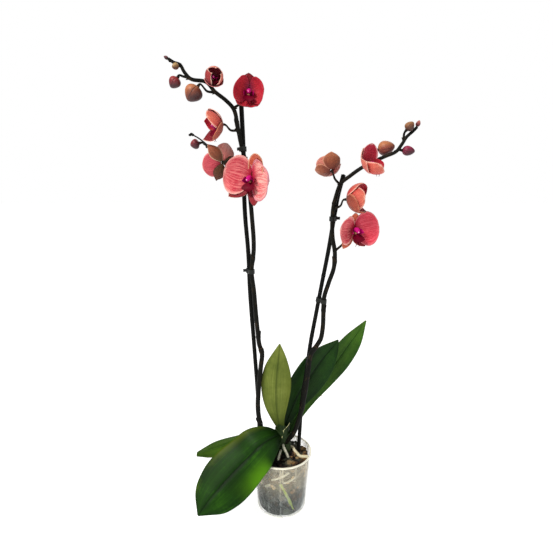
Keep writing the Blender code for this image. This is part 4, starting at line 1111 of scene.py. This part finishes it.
for name, (foot, axis, length, radius) in BUD_AT.items():
    light, body, flush, seam, shaded_flush_side = BUD_LOOKS[name]
    turn = bloom_turn(axis, (0.13, 0.31, 0.94))
    shaded_flush_side = Vector(shaded_flush_side).normalized()
    bud = Mould()

    def bud_spot(t, s):
        lat = (t - 0.5) * math.pi * 0.985
        z = math.sin(lat)
        slim = 1.0 - 0.26 * z - 0.10 * z * z
        seam_at = abs(math.sin((s * 1.5 + 0.25) * math.pi))
        girth = radius * slim * math.cos(lat) * (1.0 - 0.07 * math.exp(-(seam_at / 0.16) ** 2))
        girth *= 1.0 + 0.03 * noise.noise(Vector((s * 2.0, t * 3.0, radius * 900)))
        return Vector(foot) + turn @ Vector((girth * math.cos(s * math.pi), girth * math.sin(s * math.pi),
                                             0.0003 + length * (z + 1.0) / 2.0))

    centre = Vector(foot) + turn @ Vector((0, 0, length / 2))

    # painted shade as well as flush: the side turned the flush way, mostly down, takes the darker tints
    def flush_and_shade(t, s):
        return 0.5 + 0.5 * (bud_spot(t, s) - centre).normalized().dot(shaded_flush_side)

    rings = bud.patch(bud_spot, 26, 36, tone=flush_and_shade, closed=True)
    bud.cap(rings[0], bud_spot(0.0, 0.0).lerp(bud_spot(0.0, -1.0), 0.5), 0.0, 0.5, flip=True)
    bud.cap(rings[-1], bud_spot(1.0, 0.0).lerp(bud_spot(1.0, -1.0), 0.5), 1.0, 0.8)
    bud.piece(name + "_skin", [bud_finish(name, light, body, flush, seam)], [name], "bud")
print("buds", list(BUD_AT))

# %% [markdown]
# ## Blooms
# A moth orchid bloom has three sepals behind, two broad round petals in front of them, and a
# small three-lobed lip under a blunt column. Each organ is laid flat first, as a length and a
# width that change along it, and then wrapped on the bloom's cup, a sphere: a wide cup gives an
# open bloom and a tight one gives a bloom that is only half open. Every bloom lists its own
# organs, because no two are at the same stage.

# %% Petal finish
def petal_finish(name, root, body, outer, rim, vein, veins=0.55, rim_strength=0.75,
                 root_reach=0.42, seed=0.0):
    """Colour runs from the root to the margin, with forked veins and a pale rim."""
    f = Finish(name, Specular_IOR_Level=0.28, Sheen_Weight=0.15, Sheen_Roughness=0.4)
    broad, fine = flesh_noise(f)
    along, across = f.mark("along"), f.mark("across")
    side = abs(across)
    wander = (broad - 0.5) * 0.10
    fan = across + wander
    thick = f.noise(1.0, f.vector(fan * 11.0, along * 0.9, seed), 1.0, 0.5)
    thin = f.noise(1.0, f.vector(fan * 34.0, along * 3.4, seed + 5.0), 2.0, 0.55)
    net = f.cells(1.0, f.vector(fan * 30.0, along * 13.0, seed), "DISTANCE_TO_EDGE")
    net = net.ease(0.0, 0.13, 1.0, 0.0)
    colour = f.ramp(along + (broad - 0.5) * 0.35, (0.02, root), (root_reach, body), (0.92, outer))
    lines = (abs(thick - 0.5) * 9.0).ease(0.0, 0.8, 1.0, 0.0)
    lines = lines.above((abs(thin - 0.5) * 8.0).ease(0.0, 0.5, 0.7, 0.0))
    lines = (lines + net * 0.25).below(1.0) * along.ease(0.05, 0.30)
    colour = f.mix(lines * veins, colour, vein)
    margin = side.ease(0.80, 1.0).above(along.ease(0.90, 1.0))
    colour = f.mix((margin * (0.75 + (fine - 0.5) * 0.6)) * rim_strength, colour, rim)
    colour = f.mix(f.mark("tone").ease(0.55, 1.0), colour, root)
    return f.set(Base_Color=colour, Roughness=0.48 + fine * 0.22 - lines * 0.06,
                 Normal=f.bump(lines * 0.5 + thin * 0.4 + fine * 0.12, 0.0005, 0.6))


CORAL = petal_finish("petal_coral", (150, 0, 40), (190, 30, 56), (204, 64, 76), (250, 206, 190),
                     (234, 132, 130), veins=0.80, root_reach=0.60, seed=1.0)
PINK = petal_finish("petal_pink", (170, 16, 56), (196, 70, 82), (200, 90, 98), (180, 112, 136),
                    (240, 176, 164), veins=0.85, root_reach=0.40, seed=2.0)
CRIMSON = petal_finish("petal_crimson", (104, 0, 44), (150, 0, 20), (168, 0, 32), (180, 20, 50),
                       (184, 22, 52), veins=0.35, rim_strength=0.40, seed=3.0)
ROSE = petal_finish("petal_rose", (150, 2, 46), (186, 18, 46), (196, 44, 64), (232, 140, 146),
                    (226, 92, 108), veins=0.65, rim_strength=0.6, root_reach=0.5, seed=4.0)
ROSE_BACK = petal_finish("petal_rose_back", (116, 18, 36), (162, 36, 56), (178, 62, 72), (226, 150, 144),
                         (196, 90, 94), veins=0.60, seed=5.0)
# painted light: a paler copy of the blush back, for a petal of bloom_left_4 that lies in shade
PAINTED_LIT_BLUSH_BACK = petal_finish("petal_blush_back_painted_lit", (190, 96, 92), (228, 150, 138), (238, 174, 160),
                         (248, 208, 194), (196, 104, 100), veins=0.60, seed=6.5)
BLUSH_BACK = petal_finish("petal_blush_back", (132, 46, 40), (180, 100, 84), (200, 128, 108),
                          (240, 190, 172), (150, 60, 58), veins=0.60, seed=6.0)
SEPAL_ORANGE = petal_finish("sepal_orange", (140, 34, 30), (200, 84, 56), (212, 108, 74), (246, 196, 164),
                            (160, 54, 38), veins=0.55, seed=7.0)
# Dark maroon flesh. On the inner faces of half-open cups it is painted shade as well as colour.
MAROON_AND_SHADE = petal_finish("sepal_maroon", (84, 4, 26), (120, 14, 30), (142, 26, 36), (70, 10, 18),
                          (92, 6, 22), veins=0.35, rim_strength=0.6, seed=8.0)
TAN_BACK = petal_finish("sepal_tan_back", (78, 48, 28), (128, 66, 38), (168, 94, 64), (244, 204, 172),
                        (84, 32, 22), veins=0.65, root_reach=0.55, seed=9.0)
OLIVE_BACK = petal_finish("sepal_olive_back", (70, 50, 24), (94, 58, 28), (104, 52, 34), (40, 22, 14),
                          (58, 28, 18), veins=0.55, seed=10.0)
SALMON = petal_finish("petal_salmon", (168, 24, 34), (200, 70, 62), (214, 116, 92), (250, 206, 186),
                      (160, 46, 42), veins=0.50, root_reach=0.45, seed=11.0)
RED_BROWN = petal_finish("sepal_red_brown", (96, 40, 26), (150, 62, 42), (176, 76, 54), (206, 130, 96),
                         (92, 30, 22), veins=0.55, seed=12.0)
MAROON_BACK = petal_finish("sepal_maroon_back", (96, 14, 24), (140, 24, 32), (158, 44, 44),
                           (240, 200, 180), (96, 10, 22), veins=0.50, rim_strength=0.85, seed=13.0)
CRIMSON_PALE = petal_finish("petal_crimson_pale_rim", (120, 0, 44), (168, 2, 34), (186, 14, 52),
                            (246, 184, 184), (196, 30, 60), veins=0.30, rim_strength=1.0, seed=14.0)
COPPER_BACK = petal_finish("sepal_copper_back", (88, 30, 24), (150, 82, 50), (184, 112, 76),
                           (226, 160, 130), (100, 38, 28), veins=0.65, root_reach=0.55, seed=15.0)
print("petal finishes ready")

# %% Lip finish
lip_finish = Finish("lip_flesh", Specular_IOR_Level=0.08)
_broad, _fine = flesh_noise(lip_finish)
_tone, _along, _across = lip_finish.mark("tone"), lip_finish.mark("along"), lip_finish.mark("across")
_stripes = lip_finish.noise(1.0, lip_finish.vector(_across * 10.0, _along * 2.0, 1.0), 3.0, 0.5)
_colour = lip_finish.ramp(_tone, (0.00, (84, 0, 18)), (0.22, (118, 0, 40)),
                          (0.45, (178, 4, 108)), (0.62, (196, 40, 126)),
                          (0.78, (150, 96, 44)), (1.00, (240, 196, 212)))
_colour = lip_finish.mix(_stripes.ease(0.56, 0.66) * 0.55, _colour, (86, 0, 26))
_colour = lip_finish.mix(_broad.ease(0.62, 0.74) * 0.20, _colour, (170, 20, 80))
lip_finish.set(Base_Color=_colour, Roughness=0.42 + _fine * 0.25,
               Normal=lip_finish.bump(_stripes * 0.5 + _fine * 0.4, 0.0005, 0.5))

# %% Organs
PETAL_INSET, PETAL_THICK = 0.0019, 0.0008
CLAW_START, CLAW_WIDTH = 0.0022, 0.28  # where an organ leaves the middle, and its foot's width
TIGHT_CUP = 0.021


def wrap(x, y, cup, lift):
    """Lay a flat point of a bloom on its cup, a sphere, `lift` inside it."""
    reach = math.hypot(x, y)
    bowl = cup - lift
    if reach < 1e-9:
        return Vector((0.0, 0.0, cup - bowl)), Vector((0, 0, 1))
    turn = reach / cup
    spot = Vector((bowl * math.sin(turn) * x / reach, bowl * math.sin(turn) * y / reach,
                   cup - bowl * math.cos(turn)))
    return spot, (Vector((0, 0, cup)) - spot).normalized()


def organ(mould, turn, middle, angle, length, half, cup, lift=0.0, round_tip=0.75, ruffle=0.0,
          keel=0.0, seed=0.0, look=0, n=(30, 20)):
    """One sepal or petal: flat outline, wrapped on the cup, then keeled and ruffled.

    A small `round_tip` makes a round end and 1 a pointed one. `lift` keeps petals inside sepals.
    """
    cosine, sine = math.cos(math.radians(angle)), math.sin(math.radians(angle))

    def place(t, s):
        wide = math.sin(math.pi * (0.04 + 0.96 * t)) ** round_tip if t < 1.0 else 0.0
        wide = max(wide, CLAW_WIDTH * (1.0 - t) ** 2)
        x = CLAW_START + (length - CLAW_START) * (t - 0.06 * (abs(s) ** 2) * t * (1.0 - t))
        y = half * wide * s
        rise = lift * (0.6 + 0.4 * min(1.0, t * 3.0)) + 0.72 * lift * x
        spot, inward = wrap(x * cosine - y * sine, x * sine + y * cosine, cup, rise)
        push = keel * half * (abs(s) ** 1.5) * math.sin(math.pi * min(1.0, t * 1.1))
        push += ruffle * math.sin(8.0 * t + 5.0 * s + seed) * (0.25 + s * s) * t
        push += 0.25 * ruffle * math.sin(21.0 * t + 9.0 * s + 2.0 * seed) * s * s
        push -= 0.0006 * math.exp(-(s / 0.09) ** 2) * min(1.0, 4.0 * t) * (1.0 - t)
        return Vector(middle) + turn @ (spot + inward * push)

    mould.look = 2 * look  # a finish for each face of the sheet
    mould.patch(place, n[0], n[1], tone=0.2)


def lip_and_column(mould, turn, middle, size):
    """The column with its pale cap, the crest, two side lobes and the arrow-shaped tongue."""

    def at(x, y, z):
        return Vector(middle) + turn @ (Vector((x, y, z)) * size)

    def blob(spot, radii, around, up, **look):
        lump(mould, at(*spot), tuple(radius * size for radius in radii), turn, around, up, **look)

    rod(mould, [(*at(0, 0.0002, 0.0012), 0.0023 * size), (*at(0, 0.0012, 0.0040), 0.0026 * size),
                (*at(0, 0.0014, 0.0075), 0.0029 * size), (*at(0, 0.0002, 0.0105), 0.0024 * size)],
        steps=5, around=16, tone=0.50)
    blob((0, -0.0006, 0.0112), (0.0019, 0.0015, 0.0014), 14, 8, tone=0.55)
    blob((-0.0006, -0.0002, 0.0124), (0.0007, 0.0006, 0.0004), 10, 6, tone=0.98)
    blob((0, -0.0030, 0.0048), (0.0017, 0.0014, 0.0017), 14, 8, tone=0.80, rough=0.25, seed=1.0)

    def tongue(t, s):
        wide = (0.0026 + 0.0052 * math.sin(math.pi * min(1.0, t * 1.12)) ** 1.3) * (1.0 - t ** 5)
        wide += 0.0012 * math.exp(-((t - 0.60) / 0.10) ** 2)
        curl = 0.0016 * s * s
        return at(wide * s, -0.0028 - 0.0125 * t, 0.0030 + 0.0085 * math.sin(t * 2.3) + curl)

    mould.patch(tongue, 16, 12, tone=lambda t, s: 0.02 + 0.14 * (1 - t) * (1 - abs(s)))
    for hand in (-1, 1):
        def side_lobe(t, s, hand=hand):
            lean = 0.0034 + 0.0034 * math.sin(math.pi * 0.5 * t)
            wide = 0.0036 * math.sin(math.pi * min(0.94, 0.22 + t * 0.8)) ** 0.7
            return at(hand * lean, -0.0012 + s * wide, 0.0028 + 0.0088 * t - 0.0012 * s * s)

        mould.patch(side_lobe, 10, 10, tone=lambda t, s: 0.16 + 0.30 * t)
        rod(mould, [(*at(hand * 0.0010, -0.0152, 0.0092), 0.00045 * size),
                    (*at(hand * 0.0026, -0.0172, 0.0104), 0.00035 * size),
                    (*at(hand * 0.0020, -0.0188, 0.0088), 0.00018 * size)], steps=4, around=6, tone=0.1)


print("organs ready")

# %% [markdown]
# The blooms follow, one table row for each organ: the angle at which it leaves the middle of the
# bloom, its length and half its width, and where it differs, its own cup, keel, ruffle or tip.
# Angles are seen from the front, with 90 degrees toward the top sepal. Finishes come in pairs,
# behind and in front, and `look` picks the second pair. One bloom opens another way round the
# same bowl than its node does.

# %% Blooms
def part(angle, length, half, **more):
    """One organ's row in the table."""
    return dict(angle=angle, length=length, half=half, **more)


BLOOMS = {
    "bloom_left_1": dict(
        top=(-0.1, 0.05, 1.0), lip=0.8,
        # painted shade: the inner faces of this half-open cup, petals too, are dark maroon
        sepals=((MAROON_BACK, MAROON_AND_SHADE, SALMON, MAROON_AND_SHADE), [
            part(84, 0.034, 0.018, cup=0.0128, look=1),
            part(190, 0.035, 0.019, cup=0.0132),
            part(338, 0.034, 0.0185, cup=0.013, look=1)]),
        petals=[
            ("_petals", (ROSE_BACK, MAROON_AND_SHADE), [
                part(235, 0.0225, 0.013),
                part(312, 0.0225, 0.013)])]),
    "bloom_left_2": dict(
        top=(0.05, 0.0, 1.0), lip=1.15,
        sepals=((MAROON_AND_SHADE, MAROON_AND_SHADE, MAROON_AND_SHADE, CRIMSON), [
            # painted shade: the top sepal is dark maroon on both faces, its own colour and the shade between
            # the petals
            part(92, 0.03, 0.014),
            part(232, 0.03, 0.016, look=1),
            part(304, 0.03, 0.016, look=1)]),
        petals=[
            ("_petal_left", (CRIMSON, CRIMSON), [part(166, 0.0285, 0.0245, round_tip=0.45)]),
            ("_petal_right", (CRIMSON, CRIMSON), [part(8, 0.0285, 0.0245, round_tip=0.45)])]),
    "bloom_left_3": dict(
        top=(0.05, 0.0, 1.0), lip=1.35,
        sepals=((SALMON, MAROON_AND_SHADE, RED_BROWN, MAROON_AND_SHADE), [
            part(95, 0.033, 0.019, cup=0.0235, round_tip=0.5),
            part(235, 0.042, 0.015, cup=0.026),
            part(310, 0.036, 0.019, cup=0.024, look=1, round_tip=0.5)]),
        petals=[
            ("_petals", (SALMON, CRIMSON), [
                part(160, 0.034, 0.017, cup=0.02),
                part(38, 0.044, 0.0255, cup=0.022, round_tip=0.5)])]),
    "bloom_left_4": dict(
        top=(-0.34, 0.0, 1.0), lip=None,
        sepals=((TAN_BACK, CORAL, OLIVE_BACK, CORAL), [
            part(72, 0.038, 0.011, keel=0.12, round_tip=1.0),
            part(200, 0.034, 0.011, look=1),
            part(300, 0.033, 0.011, look=1, round_tip=1.0)]),
        petals=[
            # painted light: the upper petal takes the paler copy of the blush back
            ("_petals", (ROSE_BACK, CORAL, PAINTED_LIT_BLUSH_BACK, CORAL), [
                part(0, 0.0345, 0.0215, round_tip=0.5),
                part(136, 0.04, 0.018, round_tip=0.6, look=1)])]),
    "bloom_left_5": dict(
        top=(0.0, 0.0, 1.0), lip=1.4,
        sepals=((TAN_BACK, SEPAL_ORANGE, TAN_BACK, MAROON_AND_SHADE), [
            part(56, 0.058, 0.016, keel=0.15, round_tip=0.55),
            part(218, 0.049, 0.015, look=1),
            part(285, 0.048, 0.013, look=1)]),
        petals=[
            ("_petal_left", (ROSE_BACK, CORAL), [part(158, 0.048, 0.0375, round_tip=0.42, ruffle=0.0008)]),
            ("_petal_right", (ROSE_BACK, PINK), [part(356, 0.044, 0.0375, round_tip=0.42, ruffle=0.0016)])]),
    "bloom_right_1": dict(
        facing=(0.5, -0.66, 0.56), raised=0.0085, top=(0.05, 0.0, 1.0), lip=1.2,
        sepals=((SALMON, SEPAL_ORANGE, SALMON, SALMON), [
            part(140, 0.04, 0.015),
            part(192, 0.04, 0.015, look=1),
            part(236, 0.045, 0.024, cup=0.022, look=1, round_tip=0.45)]),
        petals=[
            ("_petal_left", (ROSE_BACK, CRIMSON_PALE), [part(92, 0.042, 0.0225, round_tip=0.5)]),
            ("_petal_right", (ROSE_BACK, CRIMSON), [part(2, 0.029, 0.014, round_tip=0.5)])]),
    "bloom_right_2": dict(
        top=(0.0, -0.3, 1.0), lip=None,
        sepals=((COPPER_BACK, CORAL, BLUSH_BACK, CORAL), [
            part(96, 0.032, 0.019),
            part(215, 0.032, 0.017, look=1),
            part(335, 0.032, 0.017)]),
        petals=[
            ("_petals", (BLUSH_BACK, CORAL), [
                part(160, 0.032, 0.02, round_tip=0.5),
                part(20, 0.032, 0.02, round_tip=0.5)])]),
    "bloom_right_3": dict(
        top=(-0.06, 0.0, 1.0), lip=None,
        sepals=((RED_BROWN, CRIMSON, SALMON, CRIMSON), [
            part(98, 0.043, 0.02, cup=0.024, look=1),
            part(212, 0.037, 0.022, cup=0.0245, round_tip=0.5),
            part(275, 0.043, 0.024, cup=0.024, round_tip=0.4)]),
        petals=[
            ("_petals", (SALMON, CRIMSON), [
                part(176, 0.047, 0.03, cup=0.0225, round_tip=0.4),
                part(40, 0.047, 0.028, cup=0.026, round_tip=0.5)])]),
    "bloom_right_4": dict(
        top=(-0.06, 0.0, 1.0), lip=1.4,
        sepals=((RED_BROWN, SEPAL_ORANGE, RED_BROWN, MAROON_AND_SHADE), [
            part(98, 0.033, 0.011, keel=0.15),
            part(222, 0.042, 0.0115),
            part(300, 0.034, 0.012, look=1)]),
        petals=[
            ("_petal_left", (ROSE_BACK, CORAL), [part(172, 0.037, 0.027, round_tip=0.5, ruffle=0.001)]),
            ("_petal_right", (ROSE_BACK, ROSE), [part(10, 0.043, 0.034, round_tip=0.42, ruffle=0.0012)])]),
}


def organs(rows, turn, middle, cup, ruffle, seed, **more):
    """Mould one piece's rows. A tight cup leaves little room for ruffles."""
    mould = Mould()
    for row in rows:
        row = {"cup": cup, "ruffle": ruffle, **row}
        row["ruffle"] *= 0.3 if row["cup"] < TIGHT_CUP else 1.0
        organ(mould, turn, middle, seed=seed + row["angle"], **row, **more)
    return mould


for order, (name, facts) in enumerate(BLOOMS.items()):
    middle, facing, cup = BLOOM_AT[name]
    if "facing" in facts:  # the same bowl, raised a little and opening another way
        middle = (Vector(middle) + Vector(facing).normalized() * cup
                  - Vector(facts["facing"]).normalized() * cup + Vector((0.0, 0.0, facts["raised"])))
        facing = facts["facing"]
    turn = bloom_turn(facing, facts["top"])
    finishes, rows = facts["sepals"]
    sepals = organs(rows, turn, middle, cup, 0.0005, order * 2.0)
    sepals.piece(name + "_sepal_star", finishes, [name + "_sepals"], "sepal", thick=PETAL_THICK)
    for suffix, finishes, rows in facts["petals"]:
        petals = organs(rows, turn, middle, cup, 0.0007, order * 3.0, lift=PETAL_INSET, n=(40, 30))
        petals.piece(name + suffix + "_sheet", finishes, [name + suffix], "petal", thick=PETAL_THICK)
    if facts["lip"]:
        lip = Mould()
        lip_and_column(lip, turn, middle, facts["lip"])
        stands_for = [name + "_lip"] if name + "_lip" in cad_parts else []
        lip.piece(name + "_lip_and_column", [lip_finish], stands_for, "lip")
    print(name, "made")
